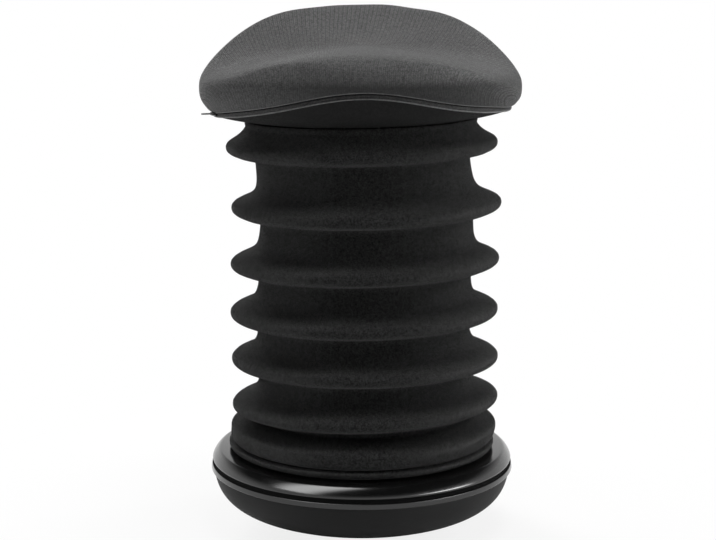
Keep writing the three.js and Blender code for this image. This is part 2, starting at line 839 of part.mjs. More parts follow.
function makeCushion() {
  const lipHeight = (angle) => seamHeight(angle) + seamLipGap / 2;
  const rimShare = seamRadiusShare;
  const bulgeHeight = (angle) => seamHeight(angle) + cushionRise * bulgeHeightShare;
  const bottom = dishShares.map((share) =>
    seatLine(rimShare * share, shellInset * share, (angle) => shellTop(angle, share) + seatGap),
  );
  const lip = [seatLine(rimShare, 0, lipHeight)];
  const sideSteps = 3;
  const side = Array.from({ length: sideSteps }, (_, i) => {
    const turn = ((i + 1) / sideSteps) * (Math.PI / 2);
    const share = rimShare + (1 - rimShare) * Math.sin(turn);
    const climb = 1 - Math.cos(turn);
    return seatLine(share, 0, (angle) => THREE.MathUtils.lerp(lipHeight(angle), bulgeHeight(angle), climb));
  });
  const shoulderSteps = 4;
  const shoulder = Array.from({ length: shoulderSteps }, (_, i) => {
    const turn = ((i + 1) / shoulderSteps) * (Math.PI / 2);
    const share = crestRadiusShare + (1 - crestRadiusShare) * Math.cos(turn);
    const climb = bulgeHeightShare + (1 - bulgeHeightShare) * Math.sin(turn);
    return seatLine(share, 0, (angle) => seamHeight(angle) + cushionRise * climb);
  });
  const topShares = [0.88, 0.66, 0.4, 0.18];
  const top = topShares.map((share) =>
    seatLine(crestRadiusShare * share, 0, (angle) => cushionTop(angle, share)),
  );
  const lowPole = [new THREE.Vector3(0, 0, shellCentreHeight + seatGap)];
  const highPole = [new THREE.Vector3(0, 0, cushionCentreHeight)];
  return lofted([lowPole, ...bottom, ...lip, ...side, ...shoulder, ...top, highPole]);
}

function boltPlaces() {
  const half = [-0.5, 0.5];
  return half.flatMap((sx) => half.map((sy) => [boltSpacingX * sx, boltSpacingY * sy]));
}

function roundedPlate(width, depth, corner, bottom, thickness) {
  const outline = roundedOutline(width, depth, corner);
  return extruded(outline, thickness, 4).translate(0, 0, bottom);
}

function makeShell() {
  const under = (angle, share) =>
    shellTop(angle, share) - shellCentreThickness + (shellCentreThickness - shellRimThickness) * share ** 2;
  const line = (share, heightAt) =>
    seatLine(seamRadiusShare * share, shellInset * share, (angle) => heightAt(angle, share));
  const bottom = dishShares.map((share) => line(share, under));
  const top = [...dishShares].reverse().map((share) => line(share, shellTop));
  const lowPole = [new THREE.Vector3(0, 0, shellCentreHeight - shellCentreThickness)];
  const highPole = [new THREE.Vector3(0, 0, shellCentreHeight)];
  const board = lofted([lowPole, ...bottom, ...top, highPole]);
  const padBottom = plateTop + seatGap;
  const pad = roundedPlate(plateWidth, plateDepth, plateCorner, padBottom, padTop - padBottom);
  const channelHeight = padChannelTop - plateTop + cutOverrun;
  const channelDepth = padChannelFront + plateDepth / 2 + cutOverrun;
  const channel = box(
    padChannelWidth,
    channelDepth,
    channelHeight,
    0,
    channelDepth / 2 - padChannelFront,
    padChannelTop - channelHeight / 2,
  );
  const boltTop = plateTop - plateThickness + boltLength + seatGap;
  const holes = boltPlaces().map(([x, y]) =>
    shaftAt(boltRadius + seatGap, plateTop - cutOverrun, boltTop, x, y, pinSteps),
  );
  return cut(join(board, pad), channel, ...holes);
}

// The lever's pin, or the hole for it
function leverPinShaft(clearance, length) {
  return crossShaft(leverPinRadius + clearance, length, leverPivotY, leverPivotHeight, pinSteps);
}

function makePlate() {
  const bottom = plateTop - plateThickness;
  const plate = roundedPlate(plateWidth, plateDepth, plateCorner, bottom, plateThickness);
  const earX = leverWidth / 2 + earGap + earThickness / 2;
  const earTall = earHeight + plateThickness;
  const earZ = bottom + earTall / 2;
  const ears = [-earX, earX].map((x) => box(earThickness, earLength, earTall, x, leverPivotY, earZ));
  const below = bottom - cutOverrun;
  const above = plateTop + cutOverrun;
  const socketHole = disc(tubeRadius + socketWall + 2 * seatGap, below, above, shaftSteps);
  const holes = boltPlaces().map(([x, y]) => shaftAt(boltRadius + runGap, below, above, x, y, pinSteps));
  const pinHole = leverPinShaft(seatGap, leverPinLength + cutOverrun);
  return cut(join(plate, ...ears), socketHole, pinHole, ...holes);
}

function makeBolt() {
  const headTop = plateTop - plateThickness - seatGap;
  return turned(
    [
      [0, headTop - boltHeadHeight],
      [boltHeadRadius, headTop - boltHeadHeight],
      [boltHeadRadius, headTop],
      [boltRadius, headTop],
      [boltRadius, headTop + boltLength],
      [0, headTop + boltLength],
    ],
    pinSteps,
  );
}

// Level at which the pressure tube's tapered top starts
const taperBottom = plateTop - socketLength;

function makePressureTube() {
  const bore = tubeRadius - tubeWall;
  const ceiling = tubeTop - tubeCapThickness;
  const pinBore = releasePinRadius + runGap;
  return turned(
    [
      [tubeRadius, tubeBottom],
      [tubeRadius, taperBottom],
      [tubeRadius - tubeTaper, tubeTop],
      [pinBore, tubeTop],
      [pinBore, ceiling],
      [bore - tubeTaper, ceiling],
      [bore - tubeTaper, taperBottom],
      [bore, taperBottom - tubeBoreTaperLength],
      [bore, tubeBottom + tubeLipHeight],
      [bore - tubeLipWidth, tubeBottom + tubeLipHeight],
      [bore - tubeLipWidth, tubeBottom],
    ],
    shaftSteps,
  );
}

function makeGland() {
  const bottom = tubeBottom + tubeLipHeight + seatGap;
  const outer = tubeRadius - tubeWall - seatGap;
  return ring(rodRadius + runGap, outer, bottom, bottom + glandHeight, shaftSteps);
}

function makeSocket() {
  const bore = tubeRadius + seatGap;
  return turned(
    [
      [bore + socketWall, taperBottom],
      [bore + socketWall, plateTop],
      [bore - tubeTaper, plateTop],
      [bore, taperBottom],
    ],
    shaftSteps,
  );
}

function makePiston() {
  const outer = tubeRadius - tubeWall - runGap;
  return ring(rodSpigotRadius + seatGap, outer, rodTop + seatGap, rodTop + pistonHeight, shaftSteps);
}

function makeReleasePin() {
  const top = leverPivotHeight - leverThickness / 2 - seatGap;
  const headTop = tubeTop - tubeCapThickness - seatGap;
  return turned(
    [
      [0, headTop - releasePinHead],
      [releasePinHeadRadius, headTop - releasePinHead],
      [releasePinHeadRadius, headTop],
      [releasePinRadius, headTop],
      [releasePinRadius, top],
      [0, top],
    ],
    pinSteps,
  );
}

// The grip's inner end and the bar's outer end, measured from the stool's axis
const gripStart = coverReachBehind(leverPivotHeight + gripThickness / 2) + gripStandoff;
const leverReach = gripStart + gripDepth - gripOverhang;

function makeLever() {
  const length = leverReach - leverPivotY;
  const outer = box(leverWidth, length, leverThickness, 0, leverPivotY + length / 2, leverPivotHeight);
  const noseLength = leverPivotY + leverNoseReach;
  const noseY = leverPivotY - noseLength / 2;
  const nose = box(leverWidth, noseLength, leverThickness, 0, noseY, leverPivotHeight);
  const hub = crossShaft(leverHubRadius, leverWidth, leverPivotY, leverPivotHeight, shaftSteps);
  return cut(join(outer, nose, hub), leverPinShaft(seatGap, leverWidth + cutOverrun));
}

function makeGrip() {
  const outline = roundedOutline(gripDepth, gripThickness, gripRound);
  const centreY = gripStart + gripDepth / 2;
  const body = extruded(outline, gripWidth, 3)
    .translate(0, 0, -gripWidth / 2)
    .rotateY(Math.PI / 2)
    .rotateX(Math.PI / 2)
    .translate(0, centreY, leverPivotHeight);
  const pocketLength = leverReach + seatGap - gripStart + cutOverrun;
  const pocket = box(
    leverWidth + 2 * seatGap,
    pocketLength,
    leverThickness + 2 * seatGap,
    0,
    leverReach + seatGap - pocketLength / 2,
    leverPivotHeight,
  );
  return cut(body, pocket);
}

function coverLipTop(angle) {
  return seamHeight(angle) - seamLipGap / 2;
}

function coverLipBottom(angle) {
  return coverLipTop(angle) - underCoverWall;
}

// A point of the under cover, at shares of its width and height from neck to lip
function coverPoint(angle, radiusShare, heightShare, inset = 0, lift = 0) {
  const reachX = neckRadius + (seatRadiusX * seamRadiusShare - neckRadius) * radiusShare - inset;
  const reachY = neckRadius + (seatRadiusY * seamRadiusShare - neckRadius) * radiusShare - inset;
  const height = coverBottom + (coverLipBottom(angle) - coverBottom) * heightShare + lift;
  return new THREE.Vector3(reachX * Math.cos(angle), reachY * Math.sin(angle), height);
}

// How far out the under cover stands at a height, straight behind
function coverReachBehind(height) {
  const radiusShares = [0, ...underCoverRadiusShares, 1];
  const heightShares = [0, ...underCoverHeightShares, 1];
  const profile = radiusShares.map((share, i) => coverPoint(Math.PI / 2, share, heightShares[i]));
  const above = profile.findIndex((point) => point.z > height);
  const low = profile[above - 1];
  const high = profile[above];
  return THREE.MathUtils.mapLinear(height, low.z, high.z, low.y, high.y);
}

function makeUnderCover() {
  const neckLine = (inset) =>
    angles(bigRoundSteps).map((angle) => around(neckRadius - inset, angle, coverBottom));
  const between = (radiusShare, heightShare, inset, lift) =>
    angles(bigRoundSteps).map((angle) => coverPoint(angle, radiusShare, heightShare, inset, lift));
  const inward = underCoverWall * underCoverWallShare;
  const outside = underCoverRadiusShares.map((share, i) => between(share, underCoverHeightShares[i], 0, 0));
  const inside = underCoverRadiusShares.map((share, i) =>
    between(share, underCoverHeightShares[i], inward, underCoverWall),
  );
  const body = lofted(
    [
      neckLine(0),
      ...outside,
      seatLine(seamRadiusShare, 0, coverLipBottom),
      seatLine(seamRadiusShare, 0, coverLipTop),
      seatLine(seamRadiusShare, underCoverLip, coverLipTop),
      ...inside.reverse(),
      neckLine(underCoverWall),
    ],
    true,
  );
  const slotDepth = 2 * underCoverLip + seatRadiusY - neckRadius;
  const slotY = neckRadius - underCoverLip + slotDepth / 2;
  const slotHeight = slotTop - slotBottom;
  return cut(body, box(slotWidth, slotDepth, slotHeight, 0, slotY, slotBottom + slotHeight / 2));
}

function makeZipTape() {
  const low = (angle) => seamHeight(angle) - zipTapeWidth / 2;
  const high = (angle) => seamHeight(angle) + zipTapeWidth / 2;
  const line = (inset, heightAt) => seatLine(seamRadiusShare, inset, heightAt);
  return lofted(
    [
      line(zipTapeInset, low),
      line(zipTapeInset, high),
      line(zipTapeInset + zipTapeDepth, high),
      line(zipTapeInset + zipTapeDepth, low),
    ],
    true,
  );
}

// The zip slider and its pull, in a frame of their own: X out from the flat of
// the lips where the slider sits, Z up from the seam
const bailX = sliderCoreProud + sliderPlateDepth + bailReach;
const bailZ = sliderPlateRise - sliderPlateHeight / 2;

// A shaft along the seam, reaching as far to each side
function tangentShaft(radius, reach, steps) {
  return disc(radius, -reach, reach, steps).rotateX(Math.PI / 2);
}

function makeSlider() {
  const coreBack = seatGap - zipTapeInset;
  const coreDepth = sliderCoreProud + sliderPlateDepth / 2 - coreBack;
  const core = box(coreDepth, sliderLength, sliderCoreHeight, coreBack + coreDepth / 2, 0, 0);
  const plateOutline = roundedOutline(sliderLength, sliderPlateHeight, sliderPlateCorner);
  const plate = extruded(plateOutline, sliderPlateDepth, 3)
    .rotateY(Math.PI / 2)
    .rotateX(Math.PI / 2)
    .translate(sliderCoreProud, 0, bailZ);
  const cheekY = pullEyeWidth / 2 + seatGap + bailThickness / 2;
  const cheekDepth = bailReach + bailHeight / 2 + sliderPlateDepth / 2;
  const cheekX = bailX + bailHeight / 2 - cheekDepth / 2;
  const cheeks = [-cheekY, cheekY].map((y) => box(cheekDepth, bailThickness, bailHeight, cheekX, y, bailZ));
  const pin = tangentShaft(bailPinRadius, cheekY, pinSteps).translate(bailX, 0, bailZ);
  return join(plate, core, ...cheeks, pin);
}

// The pull lies out from its eye, whose centre is the frame's origin
function makePull() {
  const halfEye = pullEyeWidth / 2;
  const eye = tangentShaft(pullEyeRadius, halfEye, shaftSteps);
  const eyeBore = tangentShaft(bailPinRadius + seatGap, pullEyeWidth, shaftSteps);
  const tab = new THREE.Shape();
  const halfTab = pullWidth / 2;
  tab.moveTo(pullEyeRadius / 2, -halfEye);
  tab.lineTo(pullShoulder, -halfEye);
  tab.lineTo(pullShoulder + pullRim, -halfTab);
  tab.absarc(pullReach - halfTab, 0, halfTab, -Math.PI / 2, Math.PI / 2);
  tab.lineTo(pullShoulder + pullRim, halfTab);
  tab.lineTo(pullShoulder, halfEye);
  tab.lineTo(pullEyeRadius / 2, halfEye);
  const window = new THREE.Path();
  const windowRadius = halfTab - pullRim;
  window.absarc(pullReach - halfTab, 0, windowRadius, -Math.PI / 2, Math.PI / 2);
  window.absarc(pullShoulder + 2 * pullRim + windowRadius, 0, windowRadius, Math.PI / 2, 1.5 * Math.PI);
  tab.holes.push(window);
  const flat = extruded(tab, pullThickness, 5).translate(0, 0, -pullThickness / 2);
  return cut(join(eye, flat), eyeBore);
}

// The middle of the flat of the seam line nearest the slider's direction
function sliderPlace() {
  const seam = seatLine(seamRadiusShare, 0, seamHeight);
  const flat = Math.floor((sliderDirectionDegrees / 360) * seam.length);
  const from = seam[flat];
  const to = seam[flat + 1];
  const place = new THREE.Group();
  place.position.copy(from).add(to).divideScalar(2);
  place.rotation.z = Math.atan2(from.x - to.x, to.y - from.y);
  return place;
}

function makeNeckRing() {
  return ring(neckRadius - neckRingWall, neckRadius, neckBottom, neckTop, bellowsSteps);
}

// Base and column
add('sole_pad', makeSole(), soleBlack);
add('base_bowl', makeBowl(), satinBlack);
add('cap_ring', makeCapRing(), glossBlack);
add('glide_ring', makeGlideRing(), paleNylon);
add('ballast_ring', makeBallast(), castIron);
add('column_hub', makeHub(), satinBlack);
screwPlaces.forEach((place, i) => {
  const screw = add(`hub_screw_${i + 1}`, makeHubScrew(), brightSteel);
  screw.position.copy(place);
});
add('column_tube', makeColumn(), blackSteel);
add('guide_bush', makeBush(), paleNylon);
add('thrust_washer_lower', makeWasher(lowerWasherBottom), brightSteel);

// Spindle
add('piston_rod', makeRod(), brightSteel);
add('rod_clip', makeClip(), blackSteel);
add('thrust_bearing', makeBearing(), brightSteel);
add('thrust_washer_upper', makeWasher(upperWasherBottom), brightSteel);
add('rubber_buffer', makeBuffer(), bufferRubber);
add('piston', makePiston(), brightSteel);
add('bellows_hem_ring', makeHemRing(), paleNylon);
add('bellows', makeBellows(), bellowsKnit);
hoopPoses.forEach((pose, i) => add(`hoop_${i + 1}`, makeHoop(pose), satinBlack));

// Seat
add('pressure_tube', makePressureTube(), blackSteel);
add('rod_gland', makeGland(), satinBlack);
add('taper_socket', makeSocket(), blackSteel);
add('seat_plate', makePlate(), blackSteel);
boltPlaces().forEach(([x, y], i) => {
  const bolt = add(`seat_bolt_${i + 1}`, makeBolt(), brightSteel);
  bolt.position.set(x, y, 0);
});
add('seat_shell', makeShell(), shellGrey);
add('seat_cushion', makeCushion(), seatKnit);
add('zip_tape', makeZipTape(), satinBlack);
add('under_cover', makeUnderCover(), bellowsKnit);
add('neck_ring', makeNeckRing(), satinBlack);

const sliderFrame = sliderPlace();
stool.add(sliderFrame);
add('zip_slider', makeSlider(), glossBlack, sliderFrame);
const pull = add('zip_pull', makePull(), glossBlack, sliderFrame);
pull.position.set(bailX, 0, bailZ);

// Release lever
add('lever_pin', leverPinShaft(0, leverPinLength), brightSteel);
add('release_lever', makeLever(), blackSteel);
add('lever_grip', makeGrip(), satinBlack);
add('release_pin', makeReleasePin(), brightSteel);

export default stool;
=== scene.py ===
# Looks for the wobble stool: domed base with a gloss ring, ribbed knit bellows
# over eight hoops, and a saddle seat in a zipped knit cover. Metres, in the CAD
# model's frame: +Z up, the sitter's front towards -Y.
import math

import bpy
import numpy as np
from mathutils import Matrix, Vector


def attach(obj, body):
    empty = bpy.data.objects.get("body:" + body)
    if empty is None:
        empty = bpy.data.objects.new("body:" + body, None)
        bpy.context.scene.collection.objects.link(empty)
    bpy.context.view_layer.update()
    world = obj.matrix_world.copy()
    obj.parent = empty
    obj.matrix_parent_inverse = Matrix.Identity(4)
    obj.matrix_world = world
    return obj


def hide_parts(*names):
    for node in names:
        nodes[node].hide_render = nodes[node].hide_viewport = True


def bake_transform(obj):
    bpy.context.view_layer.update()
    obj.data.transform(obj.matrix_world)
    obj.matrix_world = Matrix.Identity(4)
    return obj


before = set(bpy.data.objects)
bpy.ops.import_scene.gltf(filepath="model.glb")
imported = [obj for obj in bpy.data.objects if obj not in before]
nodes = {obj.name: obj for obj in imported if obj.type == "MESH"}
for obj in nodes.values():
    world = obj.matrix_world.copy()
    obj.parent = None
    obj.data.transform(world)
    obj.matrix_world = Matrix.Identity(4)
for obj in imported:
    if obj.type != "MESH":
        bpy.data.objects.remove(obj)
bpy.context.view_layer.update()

TURN = 2 * math.pi

# Base
BOWL_RADIUS = 0.1664
BOWL_CORNER_HEIGHT = 0.0986
BOWL_DEPTH = 0.0853
BOWL_SEAM = 0.066
SOLE_EDGE = 0.127
SOLE_DOME = 0.365
SOLE_FLAT = 0.030
SOLE_THICKNESS = 0.004
MOULDING_GAP = 0.0003
BOWL_WALL = 0.004
BOWL_LAP = 0.0018  # the rim's thickness round the ring's spigot
BOWL_LAP_HEIGHT = 0.008
HUB_SEAT_RADIUS = 0.064
HUB_SEAT_HEIGHT = 0.016
RING_RADIUS = 0.1685
RING_BOTTOM = 0.0663
RING_WALL_TAPER = 0.0007
RING_WALL_TOP = 0.0719
RING_GROOVE_HEIGHT = 0.0041
RING_GROOVE_DEPTH = 0.0026
RING_LID_EDGE = 0.1670
RING_LID_TOP = 0.0876
# The lid's profile as three arcs: radius, and the degrees from which and to which it turns
RING_EDGE_RADIUS, RING_EDGE_FROM, RING_EDGE_TO = 0.0022, -40, 20
RING_SLOPE_RADIUS, RING_SLOPE_TO = 0.0205, 50
RING_BROW_RADIUS, RING_BROW_TO = 0.006, 83
RING_THICKNESS = 0.003
RING_SPIGOT = 0.1634
RING_SPIGOT_DROP = 0.007
RING_BORE = 0.130
RING_BORE_TOP = 0.0888
RING_SKIRT = (0.136, 0.139)  # inner and outer radius of the skirt under the lid
RING_SKIRT_DEPTH = 0.0185

# Bellows
HOOPS = [f"hoop_{n}" for n in range(1, 9)]
HOOP_HEIGHTS = [0.0986, 0.1145, 0.1456, 0.1947, 0.2462, 0.3027, 0.3627, 0.4280]
HOOP_SHIFTS = [-0.0004, 0.0018, 0.0028, 0.0025, 0.0016, 0.0024, 0.0040, -0.0007]
HOOP_LEANS = [0.2, 0.1, 1.9, 0.6, 1.0, 1.4, 1.3, 1.3]
HOOP_PITCHES = [0.0, 0.0, 2.2, 1.8, 1.0, 1.1, 0.0, 0.0]
HOOP_TIP = 0.1478
HEM_RADIUS = 0.1203
VALLEY_RADIUS = 0.1168
TOP_RADIUS = 0.1253
HEM_BOTTOM = 0.0693
BELLOWS_TOP = 0.4487
NECK_CUFF = [(0.4487, 0.1259), (0.4512, 0.1265), (0.4534, 0.1265), (0.4541, 0.1259), (0.4542, 0.1253)]
KNIT_THICKNESS = 0.0012
# How far each fold hangs below its hoop, and the fine crease pressed in above its tip
BAND_DROPS = [0.0026, 0.0004, 0.0025, 0.0028, 0.0015, 0.0025, 0.0003, 0]
PRESSED_DEPTHS = [0, 0, 0.0004, 0.0004, 0.0003, 0.0010, 0.0005, 0.0003]
PRESSED_RISE = 0.0034
PRESSED_WIDTH = 0.0011
SLEEVE_SHIFT = 0.001
SLEEVE_TOP_SHIFT = -0.0008
# Two hoops nearer than this carry a closed fold. Its crease lies at a share of the way up to the
# next hoop, and is a share of the reach deep
CLOSED_GAP = 0.020
CREASE_AT = 0.18
CREASE_SHARE = 0.28
# How the cloth falls away from a fold's tip: the distance at which half the reach is left, and the power
OPEN_FALL = (0.0105, 3)
LOWEST_FALL = (0.0078, 3.5)
LOWEST_FOLD_DEPTH = 0.0108
# The hanging lip of an open fold, from the valley below up to the tip: metres below the tip, and the
# share of the reach, for hoops LIP_FITS apart
LIP_SHARES = [
    (0.0170, 0.0), (0.0135, 0.05), (0.0112, 0.12), (0.0098, 0.26), (0.0093, 0.42), (0.0094, 0.55),
    (0.0091, 0.64), (0.0080, 0.73), (0.0062, 0.87), (0.0038, 0.965), (0.0016, 0.995), (0.0, 1.0),
]
LIP_FITS = 0.030
LIP_SCALE_LIMIT = 1.05

# Seat
SEAT_X = 0.174
SEAT_Y = 0.172
SEAM_SHARE = 0.93
SEAM_MEAN = 0.4948
CUSHION_COLUMNS = 192
CUSHION_BASE_POLE = -2  # place of the underside's middle point in the list of points
PAINTED_SHADE_HEIGHT = 0.499  # painted shade: the cover's colour is darkened in full below this height, where it turns under
PAINTED_SHADE_FADE = 0.010
CUSHION_RISE = 0.0389
CUSHION_CENTRE = 0.533
SIDE_CREST = 0.508
CREST_SHARE = 0.915
CUSHION_SPREAD = 0.022  # the padding swells out past its seam by this share of its width
CUSHION_SHIFT = 0.0014  # and leans this far to one side
BULGE_SHARE = 0.73
BULGE_DROP_IN_FRONT = 0.24
CREST_DROP_IN_FRONT = 0.0024
CREST_ADVANCE_IN_FRONT = 0.025
# The cloth simulation: pressure, frames, the cover's slack before it and the longest move kept
COVER_PRESSURE = 4
COVER_FRAMES = 20
COVER_SLACK = 0.0012
COVER_REACH = 0.0024
SHELL_CENTRE = 0.492
SHELL_INSET = 0.013
SHELL_RIM_LIFT = 0.0025
NECK_RADIUS = 0.1248
NECK_TOP = 0.455
NECK_LIFT = 0.0016
NECK_LEAN = 1.1
# The zip's line round the seat: its mean height, then how much of each wave, cosine and sine
ZIP_MEAN = 0.49428
ZIP_WAVES = [
    (0.00183, 0.02597), (-0.02206, -0.00124), (0.00038, 0.00268),
    (-0.00193, -0.00050), (0.00035, -0.00142), (-0.00120, 0.0),
]
ZIP_GAP_TOP = 0.0010
ZIP_TEETH = 600
# A tooth narrows outwards: place out from the line, half width and half height
TOOTH_STEPS = [(-0.0006, 0.0006, 0.0004), (0.0004, 0.0005, 0.00032), (0.0007, 0.0003, 0.0002)]
TOOTH_STAGGER = 0.00012
# The tape's section: inset from the seam, share of the way down to the lower edge, and rise
TAPE_SECTION = [
    (0.0013, 1.0, 0.0), (0.0009, 0.72, 0.0), (0.0006, 0.4, 0.0), (0.0005, 0.12, 0.0), (0.0008, 0.0, 0.0),
    (0.0016, 0.0, 0.0002), (0.0042, 0.0, 0.0002), (0.0042, 0.0, 0.0016), (0.0062, 0.0, 0.0016),
    (0.0062, 1.0, 0.0),
]
LEVER_SLOT_PLACE = (0, 0.150, 0.48275)
LEVER_SLOT_SIZE = (0.022, 0.05, 0.0225)
LEVER_SLOT_CORNER = 0.004
HOOP_SLIMMING = 0.0019  # taken off the hoops all round, for room in the lowered folds

# Studio
WORLD_FILL = 0.02
# Heights, as sines, over which the white backdrop gives way to a dark ceiling
BACKDROP_FADE = (0.25, 0.55)
CAMERA_PLACE = (-0.0041, -1.851, 0.6287)
CAMERA_TILT = 79.55
CAMERA_LENS = 85.63
LAMP_AIM = (0, 0, 0.3)
# Name, degrees round from the camera's side towards +X, degrees up, distance, width, height, watts
LAMPS = [
    ("back_left_low", 206, 12, 2.0, 0.7, 0.7, 38),
    ("back_left_key", 210, 30, 2.0, 0.8, 0.8, 14),
    ("overhead_front", 30, 72, 2.0, 0.9, 0.9, 17),
    ("right_side", 72, 26, 2.0, 0.6, 1.0, 10),
    ("left_side", 278, 22, 2.0, 0.5, 1.0, 7),
    ("back_right_low", 124, 12, 2.0, 0.5, 1.0, 18),
    ("front_left_panel", 308, 50, 1.5, 1.2, 1.8, 50),
    ("front_right_strip", 62, 3, 1.5, 1.5, 0.25, 20),
]
# Seen in gloss alone, where the other lamps never are
GLOSS_PANELS = ("front_left_panel", "front_right_strip")


def smoothstep(t):
    t = np.clip(t, 0, 1)
    return t * t * (3 - 2 * t)


# Meshes

def mesh_piece(name, points, faces, material, uvs=None):
    """A mesh object from points and faces, with one UV per face corner if given."""
    mesh = bpy.data.meshes.new(name)
    mesh.from_pydata([tuple(p) for p in points], [], [tuple(f) for f in faces])
    if uvs is not None:
        layer = mesh.uv_layers.new(name="cloth")
        layer.data.foreach_set("uv", np.asarray(uvs, np.float32).ravel())
    mesh.update()
    piece = bpy.data.objects.new(name, mesh)
    bpy.context.scene.collection.objects.link(piece)
    mesh.materials.append(material)
    mesh.polygons.foreach_set("use_smooth", [True] * len(mesh.polygons))
    return piece


def wrapped_rows(name, rows, material, closed=False, uv=None, poles=(False, False)):
    """A skin through rows of points that run round the object. With closed set the
    last row joins the first; a pole closes an end with one point."""
    rows = np.asarray(rows, float)
    count, around = rows.shape[:2]
    points = list(rows.reshape(-1, 3))
    faces, uvs = [], []
    pairs = [(r, r + 1) for r in range(count - 1)] + ([(count - 1, 0)] if closed else [])
    for low, high in pairs:
        for c in range(around):
            d = (c + 1) % around
            faces.append((low * around + c, low * around + d, high * around + d, high * around + c))
            if uv is not None:
                u0, u1 = uv[0][c], uv[0][c + 1]
                v0, v1 = uv[1][low], uv[1][high if high else count]
                uvs += [(u0, v0), (u1, v0), (u1, v1), (u0, v1)]
    for end, wanted in zip((0, count - 1), poles):
        if not wanted:
            continue
        pole = len(points)
        points.append(rows[end].mean(axis=0))
        for c in range(around):
            d = (c + 1) % around
            edge = (end * around + c, end * around + d)
            faces.append((*(edge if end else edge[::-1]), pole))
            if uv is not None:
                uvs += [(uv[0][c], uv[1][end])] * 3
    return mesh_piece(name, points, faces, material, uvs or None)


def circle(count):
    return np.arange(count) * TURN / count


def revolved(name, outline, material, steps=192):
    """A moulding turned about the stool's axis. Points on the axis become poles."""
    on_axis = (outline[0][0] < 1e-9, outline[-1][0] < 1e-9)
    angle = circle(steps)
    x, y = np.cos(angle), np.sin(angle)
    rows = [np.stack([r * x, r * y, np.full(steps, z)], axis=1) for r, z in outline if r >= 1e-9]
    return wrapped_rows(name, rows, material, closed=not any(on_axis), poles=on_axis)


def soften_edges(piece, width, segments=2):
    """Soft edges on a rigid piece: a narrow bevel and flat faces kept flat."""
    bevel = piece.modifiers.new("soft_edge", "BEVEL")
    bevel.width = width
    bevel.segments = segments
    bevel.limit_method = "ANGLE"
    bevel.angle_limit = math.radians(30)
    bevel.harden_normals = False
    piece.data.polygons.foreach_set("use_smooth", [True] * len(piece.data.polygons))
    normals = piece.modifiers.new("flat_faces", "WEIGHTED_NORMAL")
    normals.keep_sharp = True


def arc(centre, radius, start, end, steps):
    """Points of an arc in the radius and height plane, in degrees."""
    turns = [math.radians(start + (end - start) * i / steps) for i in range(steps + 1)]
    return [(centre[0] + radius * math.cos(t), centre[1] + radius * math.sin(t)) for t in turns]


def arc_onward(point, radius, start, end, steps):
    """The points after this one on an arc that goes on from it in the same direction."""
    turn = math.radians(start)
    centre = (point[0] - radius * math.cos(turn), point[1] - radius * math.sin(turn))
    return arc(centre, radius, start, end, steps)[1:]


# Materials

def socket_group(name, inputs, outputs):
    """An empty shader node group with named inputs and outputs."""
    tree = bpy.data.node_groups.new(name, "ShaderNodeTree")
    for label, kind, value in inputs:
        made = tree.interface.new_socket(name=label, in_out="INPUT", socket_type=kind)
        if value is not None:
            made.default_value = value
    for label, kind in outputs:
        tree.interface.new_socket(name=label, in_out="OUTPUT", socket_type=kind)
    return tree, tree.nodes.new("NodeGroupInput"), tree.nodes.new("NodeGroupOutput")


def maths(tree, operation, a, b=None, c=None):
    """A Math node fed by sockets or numbers; gives its output."""
    node = tree.nodes.new("ShaderNodeMath")
    node.operation = operation
    for socket, value in zip(node.inputs, (a, b, c)):
        if value is None:
            continue
        if isinstance(value, (int, float)):
            socket.default_value = value
        else:
            tree.links.new(value, socket)
    return node.outputs[0]


def noise_value(tree, vector, scale, detail=2.0, roughness=0.5):
    node = tree.nodes.new("ShaderNodeTexNoise")
    node.inputs["Scale"].default_value = scale
    node.inputs["Detail"].default_value = detail
    node.inputs["Roughness"].default_value = roughness
    tree.links.new(vector, node.inputs["Vector"])
    return node.outputs["Fac"]


def stretched(tree, vector, factors):
    node = tree.nodes.new("ShaderNodeVectorMath")
    node.operation = "MULTIPLY"
    node.inputs[1].default_value = factors
    tree.links.new(vector, node.inputs[0])
    return node.outputs[0]


def between(tree, value, from_low, from_high, to_low=0.0, to_high=1.0):
    node = tree.nodes.new("ShaderNodeMapRange")
    node.inputs["From Min"].default_value = from_low
    node.inputs["From Max"].default_value = from_high
    node.inputs["To Min"].default_value = to_low
    node.inputs["To Max"].default_value = to_high
    tree.links.new(value, node.inputs["Value"])
    return node.outputs[0]


FLOAT, VECTOR, COLOUR = "NodeSocketFloat", "NodeSocketVector", "NodeSocketColor"


def make_knit_stitches():
    """Plain knit: columns of V-shaped stitches. Vector is in metres on the cloth."""
    tree, given, out = socket_group(
        "knit_stitches",
        [("Vector", VECTOR, None), ("Wale", FLOAT, 0.001), ("Course", FLOAT, 0.0008)],
        [("Height", FLOAT), ("Groove", FLOAT)],
    )
    split = tree.nodes.new("ShaderNodeSeparateXYZ")
    tree.links.new(given.outputs["Vector"], split.inputs[0])
    across = maths(tree, "DIVIDE", split.outputs[0], given.outputs["Wale"])
    along = maths(tree, "DIVIDE", split.outputs[1], given.outputs["Course"])
    side = maths(tree, "ABSOLUTE", maths(tree, "SUBTRACT", maths(tree, "FRACT", across), 0.5))
    legs = maths(tree, "ABSOLUTE", maths(tree, "SUBTRACT", maths(tree, "MULTIPLY", side, 4.0), 1.0))
    rounded = maths(tree, "SUBTRACT", 1.0, maths(tree, "MULTIPLY", legs, legs))
    climb = maths(tree, "ADD", along, maths(tree, "MULTIPLY", side, 1.6))
    wave = maths(tree, "SINE", maths(tree, "MULTIPLY", climb, TURN))
    stitch = maths(tree, "MULTIPLY_ADD", wave, 0.16, 0.84)
    height = maths(tree, "MULTIPLY", rounded, stitch)
    groove = between(tree, side, 0.36, 0.5)
    tree.links.new(height, out.inputs["Height"])
    tree.links.new(groove, out.inputs["Groove"])
    return tree


